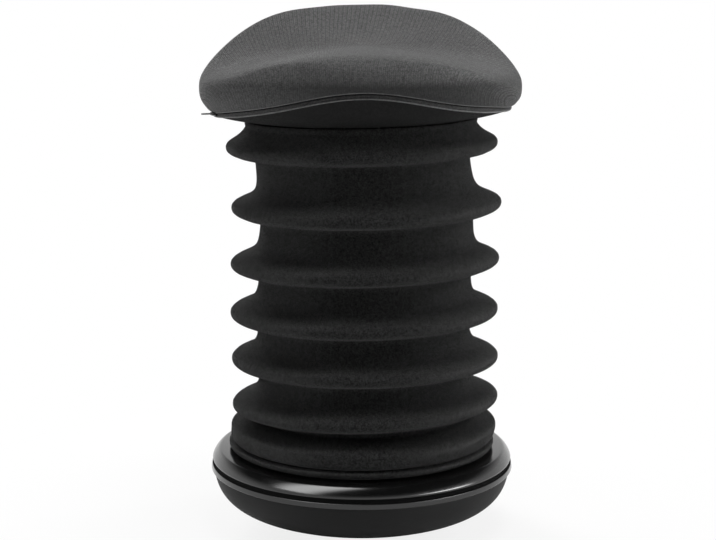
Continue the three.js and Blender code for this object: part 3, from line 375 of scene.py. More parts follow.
def make_melange():
    """Flecks of lighter and darker yarn, drawn out along the knit."""
    tree, given, out = socket_group(
        "yarn_melange", [("Vector", VECTOR, None)], [("Fleck", FLOAT), ("Cloud", FLOAT)]
    )
    drawn = stretched(tree, given.outputs["Vector"], (1.0, 0.45, 1.0))
    fine = noise_value(tree, drawn, 900.0, 1.0)
    coarse = noise_value(tree, drawn, 330.0, 2.0)
    fleck = maths(tree, "ADD", maths(tree, "MULTIPLY", fine, 0.6), maths(tree, "MULTIPLY", coarse, 0.4))
    tree.links.new(between(tree, fleck, 0.34, 0.66), out.inputs["Fleck"])
    cloud = noise_value(tree, given.outputs["Vector"], 9.0, 2.0)
    tree.links.new(between(tree, cloud, 0.3, 0.7), out.inputs["Cloud"])
    return tree


def make_moulding_grain():
    """The fine spark texture of a moulded or painted surface, and slow waviness."""
    tree, given, out = socket_group(
        "moulding_grain",
        [("Vector", VECTOR, None), ("Grain", FLOAT, 1800.0)],
        [("Height", FLOAT), ("Mottle", FLOAT)],
    )
    grain = tree.nodes.new("ShaderNodeTexNoise")
    grain.inputs["Detail"].default_value = 2.0
    tree.links.new(given.outputs["Vector"], grain.inputs["Vector"])
    tree.links.new(given.outputs["Grain"], grain.inputs["Scale"])
    tree.links.new(grain.outputs["Fac"], out.inputs["Height"])
    tree.links.new(noise_value(tree, given.outputs["Vector"], 22.0, 3.0), out.inputs["Mottle"])
    return tree


def make_scuffs():
    """Fine rubbed streaks and a little dust, as a mask."""
    tree, given, out = socket_group(
        "scuffs_and_dust", [("Vector", VECTOR, None), ("Amount", FLOAT, 0.5)], [("Mask", FLOAT)]
    )
    streaks = noise_value(tree, stretched(tree, given.outputs["Vector"], (1.0, 1.0, 7.0)), 120.0, 4.0, 0.7)
    patches = noise_value(tree, given.outputs["Vector"], 14.0, 2.0)
    mask = maths(tree, "MULTIPLY", between(tree, streaks, 0.56, 0.75), between(tree, patches, 0.42, 0.68))
    tree.links.new(maths(tree, "MULTIPLY", mask, given.outputs["Amount"]), out.inputs["Mask"])
    return tree


KNIT = make_knit_stitches()
MELANGE = make_melange()
GRAIN = make_moulding_grain()
SCUFFS = make_scuffs()


class Finish:
    """A material under construction: its tree, its shader and where it is on the object."""

    def __init__(self, name):
        self.material = bpy.data.materials.new(name)
        self.material.use_nodes = True
        self.tree = self.material.node_tree
        self.shader = self.tree.nodes["Principled BSDF"]
        self.place = self.tree.nodes.new("ShaderNodeTexCoord").outputs["Object"]

    def set(self, **values):
        for label, value in values.items():
            self.shader.inputs[label.replace("_", " ")].default_value = value
        return self

    def use(self, group, **inputs):
        node = self.tree.nodes.new("ShaderNodeGroup")
        node.node_tree = group
        for label, value in inputs.items():
            if isinstance(value, (int, float)):
                node.inputs[label].default_value = value
            else:
                self.tree.links.new(value, node.inputs[label])
        return node.outputs

    def mix(self, factor, low, high):
        node = self.tree.nodes.new("ShaderNodeMix")
        node.data_type = "RGBA"
        for socket, value in zip((node.inputs[0], node.inputs[6], node.inputs[7]), (factor, low, high)):
            if isinstance(value, (int, float)):
                socket.default_value = value
            elif isinstance(value, tuple):
                socket.default_value = (*value, 1.0)
            else:
                self.tree.links.new(value, socket)
        return node.outputs[2]

    def feed(self, label, output):
        self.tree.links.new(output, self.shader.inputs[label])

    def bump(self, height, depth, strength=1.0):
        node = self.tree.nodes.new("ShaderNodeBump")
        node.inputs["Strength"].default_value = strength
        node.inputs["Distance"].default_value = depth
        self.tree.links.new(height, node.inputs["Height"])
        self.tree.links.new(node.outputs[0], self.shader.inputs["Normal"])

    def cloth_place(self):
        node = self.tree.nodes.new("ShaderNodeUVMap")
        node.uv_map = "cloth"
        return node.outputs[0]


def grey(value, warm=0.0):
    return (value * (1 + warm), value, value * (1 - warm))


def start_knit(name, roughness, sheen, shine, stitch_size):
    """A knit's finish, its stitches and its yarn. Sheen is weight and roughness."""
    finish = Finish(name).set(Roughness=roughness, Specular_IOR_Level=shine)
    finish.set(Sheen_Weight=sheen[0], Sheen_Roughness=sheen[1])
    stitch = finish.use(KNIT, Vector=finish.cloth_place(), Wale=stitch_size[0], Course=stitch_size[1])
    return finish, stitch, finish.use(MELANGE, Vector=finish.place)


def start_hard(finish, grain_scale, scuffing, clean, rubbed):
    """The grain and the scuffed colour that mouldings, rubber and metal share."""
    grain = finish.use(GRAIN, Vector=finish.place, Grain=grain_scale)
    scuffs = finish.use(SCUFFS, Vector=finish.place, Amount=scuffing)
    finish.feed("Base Color", finish.mix(scuffs["Mask"], clean, rubbed))
    return grain


def make_seat_knit():
    finish, stitch, yarn = start_knit("seat_knit_charcoal", 0.95, (0.15, 0.25), 0.04, (0.0036, 0.0022))
    base = finish.mix(yarn["Fleck"], grey(0.090), grey(0.228))
    clouded = finish.mix(maths(finish.tree, "MULTIPLY", yarn["Cloud"], 0.2), base, grey(0.17))
    grooved = finish.mix(maths(finish.tree, "MULTIPLY", stitch["Groove"], 0.6), clouded, grey(0.06))
    # painted shade: the cloth's colour darkens towards near black where the cover turns under in front
    shade = finish.tree.nodes.new("ShaderNodeAttribute")
    shade.attribute_name = "painted_tuck_shade"
    painted_shade_amount = maths(finish.tree, "MULTIPLY", shade.outputs["Fac"], 0.72)
    finish.feed("Base Color", finish.mix(painted_shade_amount, grooved, grey(0.035)))
    height = maths(finish.tree, "MULTIPLY_ADD", yarn["Fleck"], 0.35, stitch["Height"])
    finish.bump(height, 0.0006, 0.8)
    return finish.material


def make_bellows_knit():
    finish, stitch, yarn = start_knit("bellows_knit_black", 0.95, (0.18, 0.2), 0.03, (0.0012, 0.0010))
    base = finish.mix(yarn["Fleck"], grey(0.018), grey(0.078))
    groove = maths(finish.tree, "MULTIPLY", stitch["Groove"], 0.35)
    finish.feed("Base Color", finish.mix(groove, base, grey(0.010)))
    height = maths(finish.tree, "MULTIPLY_ADD", yarn["Fleck"], 0.4, stitch["Height"])
    finish.bump(height, 0.0006, 0.9)
    return finish.material


def make_panel_knit():
    finish, stitch, yarn = start_knit("under_panel_knit", 0.92, (0.06, 0.2), 0.05, (0.0010, 0.0009))
    finish.feed("Base Color", finish.mix(yarn["Fleck"], grey(0.020), grey(0.030)))
    finish.bump(stitch["Height"], 0.0003, 0.6)
    return finish.material


def make_edge_knit(name, dark, light):
    finish, stitch, yarn = start_knit(name, 0.9, (0.2, 0.3), 0.05, (0.0008, 0.0008))
    finish.feed("Base Color", finish.mix(yarn["Fleck"], grey(dark), grey(light)))
    finish.bump(stitch["Height"], 0.0002, 0.7)
    return finish.material


def make_gloss_black():
    finish = Finish("gloss_black_plastic").set(Coat_Weight=0.25, Coat_Roughness=0.06)
    grain = start_hard(finish, 700.0, 0.5, grey(0.0045), grey(0.03))
    finish.feed("Roughness", maths(finish.tree, "MULTIPLY_ADD", grain["Mottle"], 0.10, 0.15))
    finish.bump(grain["Mottle"], 0.0002, 0.15)
    return finish.material


def make_satin_black(name="satin_black_plastic", tone=0.022, roughness=0.5, depth=0.00012, shine=0.5):
    finish = Finish(name).set(Specular_IOR_Level=shine)
    grain = start_hard(finish, 1500.0, 0.5, grey(tone), grey(tone * 3))
    finish.feed("Roughness", maths(finish.tree, "MULTIPLY_ADD", grain["Mottle"], 0.16, roughness - 0.08))
    finish.bump(grain["Height"], depth, 0.6)
    return finish.material


def make_rubber():
    finish = Finish("sole_rubber").set(Roughness=0.86)
    grain = start_hard(finish, 900.0, 0.9, grey(0.016), grey(0.07, 0.04))
    finish.bump(grain["Height"], 0.0003, 0.7)
    return finish.material


def make_steel(name, tone, roughness, metallic=1.0):
    finish = Finish(name).set(Metallic=metallic)
    grain = start_hard(finish, 1200.0, 0.4, grey(tone), grey(min(1.0, tone * 1.35)))
    finish.feed("Roughness", maths(finish.tree, "MULTIPLY_ADD", grain["Mottle"], 0.18, roughness - 0.09))
    finish.bump(grain["Height"], 0.00005, 0.3)
    return finish.material


def make_nylon():
    finish = Finish("pale_nylon").set(Roughness=0.45)
    grain = finish.use(GRAIN, Vector=finish.place, Grain=800.0)
    finish.feed("Base Color", finish.mix(grain["Mottle"], (0.62, 0.61, 0.57), (0.70, 0.69, 0.65)))
    finish.bump(grain["Height"], 0.0001, 0.3)
    return finish.material


SEAT_KNIT = make_seat_knit()
BELLOWS_KNIT = make_bellows_knit()
PANEL_KNIT = make_panel_knit()
EDGE_KNIT = make_edge_knit("seat_edge_knit", 0.07, 0.14)
# painted highlight: the folded edges' knit is made much lighter for the light they catch
EDGE_FOLD_PAINTED_HIGHLIGHT = make_edge_knit("seat_edge_fold_painted_highlight", 0.20, 0.34)
GLOSS_BLACK = make_gloss_black()
BOWL_BLACK = make_satin_black("bowl_black_plastic", 0.014, 0.6, 0.00016, 0.16)
SATIN_BLACK = make_satin_black()
ZIP_BLACK = make_satin_black("zip_black_nylon", 0.010, 0.5, 0.00008, 0.2)
# near-black matt, also painted onto the gloss ring's groove as shade
MATT_BLACK_AND_GROOVE_SHADE = make_satin_black("neck_ring_matt_and_groove_shade", 0.006, 0.8, 0.0001, 0.05)
SHELL_GREY = make_satin_black("shell_grey_plastic", 0.035, 0.6)
RUBBER = make_rubber()
BUFFER_RUBBER = make_satin_black("buffer_rubber", 0.022, 0.8, 0.0002)
BLACK_STEEL = make_steel("black_steel", 0.035, 0.42, 0.6)
BRIGHT_STEEL = make_steel("bright_steel", 0.62, 0.26)
CAST_IRON = make_steel("cast_iron", 0.06, 0.65, 0.7)
NYLON = make_nylon()

NODE_FINISHES = [
    (NYLON, ["glide_ring", "guide_bush", "bellows_hem_ring"]),
    (CAST_IRON, ["ballast_ring"]),
    (SATIN_BLACK, ["column_hub", "rod_gland", "lever_grip"]),
    (BUFFER_RUBBER, ["rubber_buffer"]),
    (SHELL_GREY, ["seat_shell"]),
    (GLOSS_BLACK, ["zip_slider", "zip_pull"]),
    (MATT_BLACK_AND_GROOVE_SHADE, HOOPS),
    (BRIGHT_STEEL, [f"{kind}_{n}" for kind in ("hub_screw", "seat_bolt") for n in range(1, 5)]),
    (BRIGHT_STEEL, ["thrust_bearing", "thrust_washer_lower", "thrust_washer_upper"]),
    (BRIGHT_STEEL, ["piston_rod", "piston", "release_pin"]),
    (BLACK_STEEL, ["column_tube", "rod_clip", "pressure_tube", "taper_socket", "seat_plate"]),
    (BLACK_STEEL, ["lever_pin", "release_lever"]),
]


def finish_cad_nodes():
    """Every CAD node that stays gets its finish and, where it shows, soft edges."""
    for material, names in NODE_FINISHES:
        for name in names:
            nodes[name].data.materials.clear()
            nodes[name].data.materials.append(material)
    soften_edges(nodes["zip_slider"], 0.00022)
    soften_edges(nodes["zip_pull"], 0.00018)
    soften_edges(nodes["release_lever"], 0.0006)
    soften_edges(nodes["lever_grip"], 0.0007, 3)
    soften_edges(nodes["seat_plate"], 0.0004)
    for name in HOOPS:
        slimmer = nodes[name].modifiers.new("room_in_lowered_fold", "DISPLACE")
        slimmer.mid_level = 0
        slimmer.strength = -HOOP_SLIMMING


# Base

def dome(radius):
    rest = SOLE_DOME - math.sqrt(SOLE_DOME**2 - SOLE_FLAT**2)
    return SOLE_DOME - math.sqrt(SOLE_DOME**2 - radius**2) - rest


def bowl_corner(radius, depth, from_radius, to_height, steps):
    """The bowl's rounded corner and wall, a curve of the fourth power."""
    start = math.acos((from_radius / radius) ** 2)
    end = math.asin(((BOWL_CORNER_HEIGHT - to_height) / depth) ** 2)
    turns = [start + (end - start) * i / steps for i in range(steps + 1)]
    radii = [radius * math.sqrt(math.cos(t)) for t in turns]
    return [(r, BOWL_CORNER_HEIGHT - depth * math.sqrt(math.sin(t))) for r, t in zip(radii, turns)]


def make_sole():
    radii = [SOLE_FLAT + (SOLE_EDGE - SOLE_FLAT) * i / 24 for i in range(25)]
    under = [(r, max(0.0, dome(r))) for r in radii]
    edge_low = under[-1][1]
    under[-1] = (SOLE_EDGE - 0.0008, dome(SOLE_EDGE - 0.0008))
    edge = [(SOLE_EDGE, edge_low + 0.0008), (SOLE_EDGE, edge_low + SOLE_THICKNESS - 0.0005)]
    top = [(r, dome(r) + SOLE_THICKNESS) for r in reversed(radii[:-1])]
    sole = revolved("sole_pad_rubber", [(0, 0), *under, *edge, *top, (0, SOLE_THICKNESS)], RUBBER)
    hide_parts("sole_pad")
    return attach(sole, "base")


def make_bowl():
    """The bowl: underside on the sole, rounded corner, rim with a lap for the ring, and its inside."""
    under_radii = [SOLE_EDGE * i / 16 for i in range(1, 17)]
    under = [(r, max(dome(r), -0.001) + SOLE_THICKNESS + MOULDING_GAP) for r in under_radii]
    recess_radius = SOLE_EDGE + MOULDING_GAP
    corner = bowl_corner(BOWL_RADIUS, BOWL_DEPTH, recess_radius, BOWL_SEAM - 0.0006, 44)
    recess = [(recess_radius, under[-1][1]), (recess_radius, corner[0][1] + 0.0006)]
    corner[0] = (recess_radius + 0.0006, corner[0][1])
    wall = corner[-1][0]
    lap = wall - BOWL_LAP
    rim = [(wall - 0.0002, BOWL_SEAM - 0.0002), (wall - 0.0006, BOWL_SEAM), (lap, BOWL_SEAM)]
    rim.append((lap, BOWL_SEAM - BOWL_LAP_HEIGHT))
    inner_size = (BOWL_RADIUS - BOWL_WALL, BOWL_DEPTH - BOWL_WALL)
    inner = bowl_corner(*inner_size, 0.130, BOWL_SEAM - BOWL_LAP_HEIGHT, 12)
    floor_radii = (0.116, 0.0928, HUB_SEAT_RADIUS)
    floor = [(r, dome(r) + 2 * SOLE_THICKNESS + MOULDING_GAP) for r in floor_radii]
    outline = [(0, SOLE_THICKNESS + MOULDING_GAP), *under, *recess, *corner, *rim, *reversed(inner), *floor]
    outline += [(HUB_SEAT_RADIUS, HUB_SEAT_HEIGHT), (0, HUB_SEAT_HEIGHT)]
    bowl = revolved("base_bowl_moulding", outline, BOWL_BLACK)
    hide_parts("base_bowl")
    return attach(bowl, "base")


def make_ring():
    """The gloss ring: a low wall, a groove whose faces are painted near-black matt as its shade, and a lid
    that slopes up to the bore.
    """
    wall_top = RING_RADIUS - RING_WALL_TAPER
    groove = wall_top - RING_GROOVE_DEPTH
    groove_top = RING_WALL_TOP + RING_GROOVE_HEIGHT
    edge_centre = (RING_LID_EDGE - RING_EDGE_RADIUS, groove_top + RING_EDGE_RADIUS)
    lid = arc(edge_centre, RING_EDGE_RADIUS, RING_EDGE_FROM, RING_EDGE_TO, 8)
    lid += arc_onward(lid[-1], RING_SLOPE_RADIUS, RING_EDGE_TO, RING_SLOPE_TO, 16)
    lid += arc_onward(lid[-1], RING_BROW_RADIUS, RING_SLOPE_TO, RING_BROW_TO, 10)
    lip = arc((RING_BORE + 0.001, RING_BORE_TOP - 0.001), 0.001, 90, 180, 5)
    under = RING_LID_TOP - RING_THICKNESS
    foot = RING_BOTTOM - RING_SPIGOT_DROP
    skirt_inside, skirt_outside = RING_SKIRT
    outline = [
        (RING_SPIGOT, foot), (RING_SPIGOT, RING_BOTTOM),
        *arc((RING_RADIUS - 0.0009, RING_BOTTOM + 0.0009), 0.0009, -90, 0, 6),
        *arc((wall_top - 0.0005, RING_WALL_TOP - 0.0005), 0.0005, 0, 90, 4),
        (groove, RING_WALL_TOP), (groove, groove_top + 0.0004),
        *lid, *lip,
        (RING_BORE, under), (skirt_inside, under), (skirt_inside, under - RING_SKIRT_DEPTH),
        (skirt_outside, under - RING_SKIRT_DEPTH), (skirt_outside, under), (0.157, under),
        (RING_SPIGOT - RING_THICKNESS, RING_WALL_TOP), (RING_SPIGOT - RING_THICKNESS, foot),
    ]
    ring = revolved("cap_ring_moulding", outline, GLOSS_BLACK, steps=256)
    # painted shade: the groove's faces take the near-black matt finish, so the gloss shows no light there
    ring.data.materials.append(MATT_BLACK_AND_GROOVE_SHADE)
    for face in ring.data.polygons:
        x, y, z = face.center
        if RING_WALL_TOP - 0.0001 < z < groove_top and math.hypot(x, y) < wall_top - 0.0006:
            face.material_index = 1
    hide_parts("cap_ring")
    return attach(ring, "base")


# Bellows

def spline(points, steps):
    """A smooth run through all the given points, with some steps between each two."""
    points = np.array(points, float)
    padded = np.vstack([2 * points[0] - points[1], points, 2 * points[-1] - points[-2]])
    out = []
    for i in range(1, len(padded) - 2):
        a, b, c, d = padded[i - 1:i + 3]
        for t in np.arange(steps) / steps:
            bend = (2 * a - 5 * b + 4 * c - d) * t**2 + (3 * b - a - 3 * c + d) * t**3
            out.append(0.5 * (2 * b + (c - a) * t + bend))
    return np.array(out + [points[-1]])


def kept_share(distance, fall=OPEN_FALL):
    """Share of the reach that the cloth keeps at a distance from a fold's tip."""
    half_way, power = fall
    return 1 / (1 + (distance / half_way) ** power)


def fold_radius(root, share):
    return root + (HOOP_TIP - root) * share


def lowest_fold(tip):
    """From the hem up the underside of the lowest fold."""
    start = tip - LOWEST_FOLD_DEPTH
    stations = [(z, HEM_RADIUS, -1, 0.0) for z in np.linspace(HEM_BOTTOM, start - 0.0012, 7)]
    for share in np.arange(18) / 18:
        out = kept_share((tip - start) * (1 - share), LOWEST_FALL) * (1 - (1 - share) ** 8)
        stations.append((start + (tip - start) * share, fold_radius(HEM_RADIUS, out), -1, share))
    return stations


def closed_fold(low, gap, i):
    """From one tip to the next where the folds lie on each other: a crease, then a full band."""
    stations = []
    for share in np.arange(24) / 24:
        if share < CREASE_AT:
            out = 1 - CREASE_SHARE * (share / CREASE_AT) ** 4
        else:
            way = (1 - share) / (1 - CREASE_AT)
            out = 1 - CREASE_SHARE * way**9 - 0.08 * way**2
        stations.append((low + gap * share, fold_radius(HEM_RADIUS, out), i, share))
    return stations


def open_fold(low, gap, i):
    """From one tip up into the valley, and out along the hanging lip of the next fold."""
    lip = spline(LIP_SHARES, 3)
    lip_scale = min(LIP_SCALE_LIMIT, gap / LIP_FITS)
    room = gap - lip[0][0] * lip_scale
    stations = []
    for share in np.arange(20) / 20:
        out = kept_share(room * share) * (1 - share**4)
        stations.append((low + room * share, fold_radius(VALLEY_RADIUS, out), i, room * share / gap))
    for below, share in lip[:-1]:
        z = low + gap - below * lip_scale
        stations.append((z, fold_radius(VALLEY_RADIUS, max(share, 0.0)), i, (z - low) / gap))
    return stations


def fold_stations():
    """Height, radius, the two hoops between which a row lies, and its share of the way."""
    tips = [h - d for h, d in zip(HOOP_HEIGHTS, BAND_DROPS)]
    stations = lowest_fold(tips[0])
    for i, (low, high) in enumerate(zip(tips, tips[1:])):
        fold = closed_fold if high - low < CLOSED_GAP else open_fold
        stations += fold(low, high - low, i)
    last = len(tips) - 1
    for share in np.arange(22) / 22:
        above = (BELLOWS_TOP - tips[last]) * share
        out = kept_share(above) * (1 - share**4)
        stations.append((tips[last] + above, fold_radius(TOP_RADIUS, out), last, share))
    stations += [(z, radius, last, 1.0) for z, radius in NECK_CUFF]
    return stations, tips


def bellows_rows(columns=216):
    """Rows of points from the hem up to the neck."""
    angle = circle(columns)
    shifts = [0, *HOOP_SHIFTS, SLEEVE_TOP_SHIFT]
    leans = np.radians([0, *HOOP_LEANS, NECK_LEAN])
    pitches = np.radians([0, *HOOP_PITCHES, 0])
    stations, tips = fold_stations()
    rows = []
    for z, radius, i, share in stations:
        bend = float(smoothstep(share))
        shift, lean, pitch = ((1 - bend) * p[i + 1] + bend * p[i + 2] for p in (shifts, leans, pitches))
        shift += SLEEVE_SHIFT * float(smoothstep((z - 0.10) / 0.05)) * float(smoothstep((0.445 - z) / 0.03))
        pressed = 0.0
        for tip, depth in zip(tips, PRESSED_DEPTHS):
            pressed += depth * math.exp(-(((z - tip - PRESSED_RISE) / PRESSED_WIDTH) ** 2))
        loose = float(smoothstep((HOOP_TIP - radius) / 0.02)) * float(smoothstep((z - 0.13) / 0.03))
        loose *= float(smoothstep((BELLOWS_TOP - 0.006 - z) / 0.02))
        drape = 0.0006 * np.sin(5 * angle + 21 * z + 0.6) + 0.0004 * np.sin(9 * angle - 34 * z)
        gathers = 0.00016 * np.sin(58 * angle + 3 * np.sin(2 * angle))
        puckers = 0.2 * pressed * np.sin(140 * angle)
        r = radius + loose * (drape + gathers) - pressed + puckers
        x, y = r * np.cos(angle), r * np.sin(angle)
        lift = NECK_LIFT * float(smoothstep((z - 0.434) / 0.012))
        rows.append(np.stack([x + shift, y, z + lift + x * math.tan(lean) - y * math.tan(pitch)], axis=1))
    return np.array(rows)


def arc_lengths(rows):
    """Length along the cloth from the first row to each, on the middle column."""
    steps = np.linalg.norm(np.diff(rows[:, 0], axis=0), axis=1)
    return np.concatenate([[0], np.cumsum(steps)])


def make_bellows():
    rows = bellows_rows()
    columns = rows.shape[1]
    lengths = arc_lengths(rows)
    girth = TURN * HOOP_TIP
    uv = (np.arange(columns + 1) / columns * girth, lengths)
    bellows = wrapped_rows("bellows_knit", rows, BELLOWS_KNIT, uv=uv)
    thickness = bellows.modifiers.new("cloth_thickness", "SOLIDIFY")
    thickness.thickness = KNIT_THICKNESS
    thickness.offset = -1
    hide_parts("bellows")
    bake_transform(bellows)
    return bellows


# Seat

def seam(angle):
    """Height of the seat's seam: it rises in front and more at the back, and dips at the sides."""
    return (
        SEAM_MEAN + 0.025 * np.sin(angle) - 0.0231 * np.cos(2 * angle)
        + 0.003 * np.sin(3 * angle) - 0.0027 * np.cos(4 * angle)
    )


def zip_line(angle):
    """Height of the zip's opening round the seat."""
    height = ZIP_MEAN + 0 * angle
    for i, (cosine, sine) in enumerate(ZIP_WAVES):
        height = height + cosine * np.cos((i + 1) * angle) + sine * np.sin((i + 1) * angle)
    return height


def edge_drop(angle):
    """How far the cover's lower edge hangs under the zip: little at the two ends."""
    return 0.0012 + 0.0036 * np.clip(np.abs(np.sin(angle)) / 0.62, 0, 1)


def seat_line(angle, share, inset, height):
    x = (SEAT_X * share - inset) * np.cos(angle)
    y = (SEAT_Y * share - inset) * np.sin(angle)
    return np.stack([x, y, np.broadcast_to(height, angle.shape)], axis=1)


def shell_top(angle, share):
    return SHELL_CENTRE + (seam(angle) + SHELL_RIM_LIFT - SHELL_CENTRE) * share**2


def softened(points, reach):
    """Rows of points smoothed along their columns, ends kept."""
    out = points.copy()
    for _ in range(reach):
        out[1:-1] = 0.25 * out[:-2] + 0.5 * out[1:-1] + 0.25 * out[2:]
    return out


def cushion_rows(angle):
    """Rows over the cushion's outside, from its lip up over the crest to near the centre."""
    lip = zip_line(angle) + ZIP_GAP_TOP
    front = np.clip(-np.sin(angle), 0, 1) ** 2
    bulge_share = BULGE_SHARE - BULGE_DROP_IN_FRONT * front
    forward = smoothstep(-1.5 * np.sin(angle))
    rise = CUSHION_RISE - CREST_DROP_IN_FRONT * forward
    crest_share = CREST_SHARE + CREST_ADVANCE_IN_FRONT * forward
    bulge = seam(angle) + rise * bulge_share
    rows = []
    for i in range(15):
        turn = math.pi / 2 * i / 15
        share = SEAM_SHARE + (1 - SEAM_SHARE) * math.sin(turn)
        rows.append(seat_line(angle, share, 0, lip + (bulge - lip) * (1 - math.cos(turn))))
    for i in range(14):
        turn = math.pi / 2 * i / 14
        share = crest_share + (1 - crest_share) * math.cos(turn)
        climb = bulge_share + (1 - bulge_share) * math.sin(turn)
        rows.append(seat_line(angle, share, 0, seam(angle) + rise * climb))
    crest = seam(angle) + rise
    for share in np.linspace(1, 0.03, 46):
        dished = CUSHION_CENTRE + (crest - CUSHION_CENTRE) * share**2
        rows.append(seat_line(angle, crest_share * share, 0, dished))
    rows = softened(np.array(rows), 5)
    swell = smoothstep(np.arange(len(rows)) / 14)[:, None]
    x = rows[:, :, 0]
    rows[:, :, 0] = x + swell * (CUSHION_SPREAD * x - CUSHION_SHIFT * np.abs(x) / SEAT_X)
    return rows


def fan(points):
    """Knit coordinates on the seat: the wales run front to back, fan out to the rear and
    go on down the sides."""
    x, y, z = points.T
    side = x / np.hypot(x, y)
    across = x + np.abs(side) ** 3 * np.sign(side) * np.clip(SIDE_CREST - z, 0, None)
    u = (across - 0.096 * y) / (1 + 2.7 * y)
    v = y + 0.9 * z * (1 - side**4)
    return np.stack([u, v], axis=1)


def set_cloth_places(piece, places):
    """Gives every face corner a UV from the position of its point."""
    mesh = piece.data
    layer = mesh.uv_layers.get("cloth") or mesh.uv_layers.new(name="cloth")
    points = np.array([v.co for v in mesh.vertices], float)
    corner = np.zeros(len(mesh.loops), np.int64)
    mesh.loops.foreach_get("vertex_index", corner)
    layer.data.foreach_set("uv", places(points)[corner].astype(np.float32).ravel())


def blow_up(pad, held_count):
    """The pad's cover pressed out by its filling in a cloth simulation. It starts a
    little slack, its first points are held, and the moves are limited and evened out."""
    mesh = pad.data
    count = len(mesh.vertices)
    shape = np.array([v.co for v in mesh.vertices], float)
    outward = np.array([v.normal for v in mesh.vertices], float)
    free = smoothstep((np.arange(count) - held_count) / (4 * CUSHION_COLUMNS))
    free[CUSHION_BASE_POLE] = 0
    start = shape - outward * (COVER_SLACK * free)[:, None]
    mesh.vertices.foreach_set("co", start.astype(np.float32).ravel())
    group = pad.vertex_groups.new(name="held_points")
    group.add([int(i) for i in np.flatnonzero(free == 0)], 1.0, "REPLACE")
    cloth = pad.modifiers.new("cover_cloth", "CLOTH")
    cloth.settings.use_pressure = True
    cloth.settings.uniform_pressure_force = COVER_PRESSURE
    cloth.settings.effector_weights.gravity = 0
    cloth.settings.vertex_group_mass = group.name
    cloth.collision_settings.use_collision = False
    cloth.point_cache.frame_start = 1
    cloth.point_cache.frame_end = COVER_FRAMES
    for step in range(1, COVER_FRAMES + 1):
        bpy.context.scene.frame_set(step)
    graph = bpy.context.evaluated_depsgraph_get()
    end = np.array([v.co for v in pad.evaluated_get(graph).data.vertices], float)
    pad.modifiers.clear()
    bpy.context.scene.frame_set(1)
    move = end - start
    far = np.linalg.norm(move, axis=1)
    move *= np.minimum(1, COVER_REACH / np.maximum(far, 1e-9))[:, None]
    grid = move[:-2].reshape(-1, CUSHION_COLUMNS, 3)
    for _ in range(10):
        round_by = 0.25 * np.roll(grid, 1, axis=1) + 0.5 * grid + 0.25 * np.roll(grid, -1, axis=1)
        grid = softened(round_by, 1)
    move[:-2] = grid.reshape(-1, 3) * (free[:-2] > 0)[:, None]
    move[-1] = grid[-1].mean(axis=0)
    mesh.vertices.foreach_set("co", (start + move).astype(np.float32).ravel())
    finer = pad.modifiers.new("finer", "SUBSURF")
    finer.levels = finer.render_levels = 1


def mark_painted_shade(piece):
    """Writes painted shade where the cover tucks under in front: a mask that darkens the cloth's colour
    below a height, weaker at the left end, where the left lamp lights it.
    """
    points = np.array([v.co for v in piece.data.vertices], float)
    front = np.clip(-points[:, 1] / np.hypot(points[:, 0], points[:, 1]), 0, 1)
    low = 1 - smoothstep((points[:, 2] - PAINTED_SHADE_HEIGHT) / PAINTED_SHADE_FADE)
    low *= 1 - 0.45 * smoothstep((-points[:, 0] - 0.02) / 0.08)
    painted_tuck_shade = piece.data.attributes.new("painted_tuck_shade", "FLOAT", "POINT")
    painted_tuck_shade.data.foreach_set("value", (low * (0.35 + 0.65 * front)).astype(np.float32))


def make_cushion():
    angle = circle(CUSHION_COLUMNS)
    lip_low = zip_line(angle) + ZIP_GAP_TOP
    rows = [
        seat_line(angle, SEAM_SHARE * share, SHELL_INSET * share, shell_top(angle, share) + 0.0003)
        for share in (0.15, 0.45, 0.78, 1.0)
    ]
    rows.append(seat_line(angle, SEAM_SHARE, 0.0060, lip_low + 0.0008))
    rows.append(seat_line(angle, SEAM_SHARE, 0.0016, lip_low + 0.0002))
    held_rows = len(rows) + 3
    rows += list(cushion_rows(angle))
    cushion = wrapped_rows("seat_cushion_cover", rows, SEAT_KNIT, poles=(True, True))
    blow_up(cushion, held_rows * CUSHION_COLUMNS)
    set_cloth_places(cushion, fan)
    mark_painted_shade(cushion)
    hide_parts("seat_cushion")
    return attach(cushion, "seat")


def make_edge_roll(name, inset, height, radius):
    """The folded and sewn edge of the seat cover, a fine roll along the zip, its knit painted light as a
    highlight.
    """
    angle = circle(320)
    rows = []
    for i in range(10):
        turn = TURN * i / 10
        out = radius * math.cos(turn)
        up = radius * math.sin(turn)
        rows.append(seat_line(angle, SEAM_SHARE, inset - out, height(angle) + up))
    lengths = [radius * 0.63 * i for i in range(11)]
    uv = (np.arange(len(angle) + 1) / len(angle) * TURN * SEAT_X, lengths)
    roll = wrapped_rows(name, rows, EDGE_FOLD_PAINTED_HIGHLIGHT, closed=True, uv=uv)
    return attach(roll, "seat")


def cover_row(angle, radius_share, height_share):
    """A row of the under panel, at shares of its way out and up from the neck."""
    x = NECK_RADIUS + (SEAT_X * SEAM_SHARE - 0.0010 - NECK_RADIUS) * radius_share
    y = NECK_RADIUS + (SEAT_Y * SEAM_SHARE - 0.0010 - NECK_RADIUS) * radius_share
    low = NECK_TOP + 0.0003 + NECK_LIFT + NECK_RADIUS * np.cos(angle) * math.tan(math.radians(NECK_LEAN))
    lip = zip_line(angle) - edge_drop(angle)
    return np.stack([x * np.cos(angle), y * np.sin(angle), low + (lip - low) * height_share], axis=1)


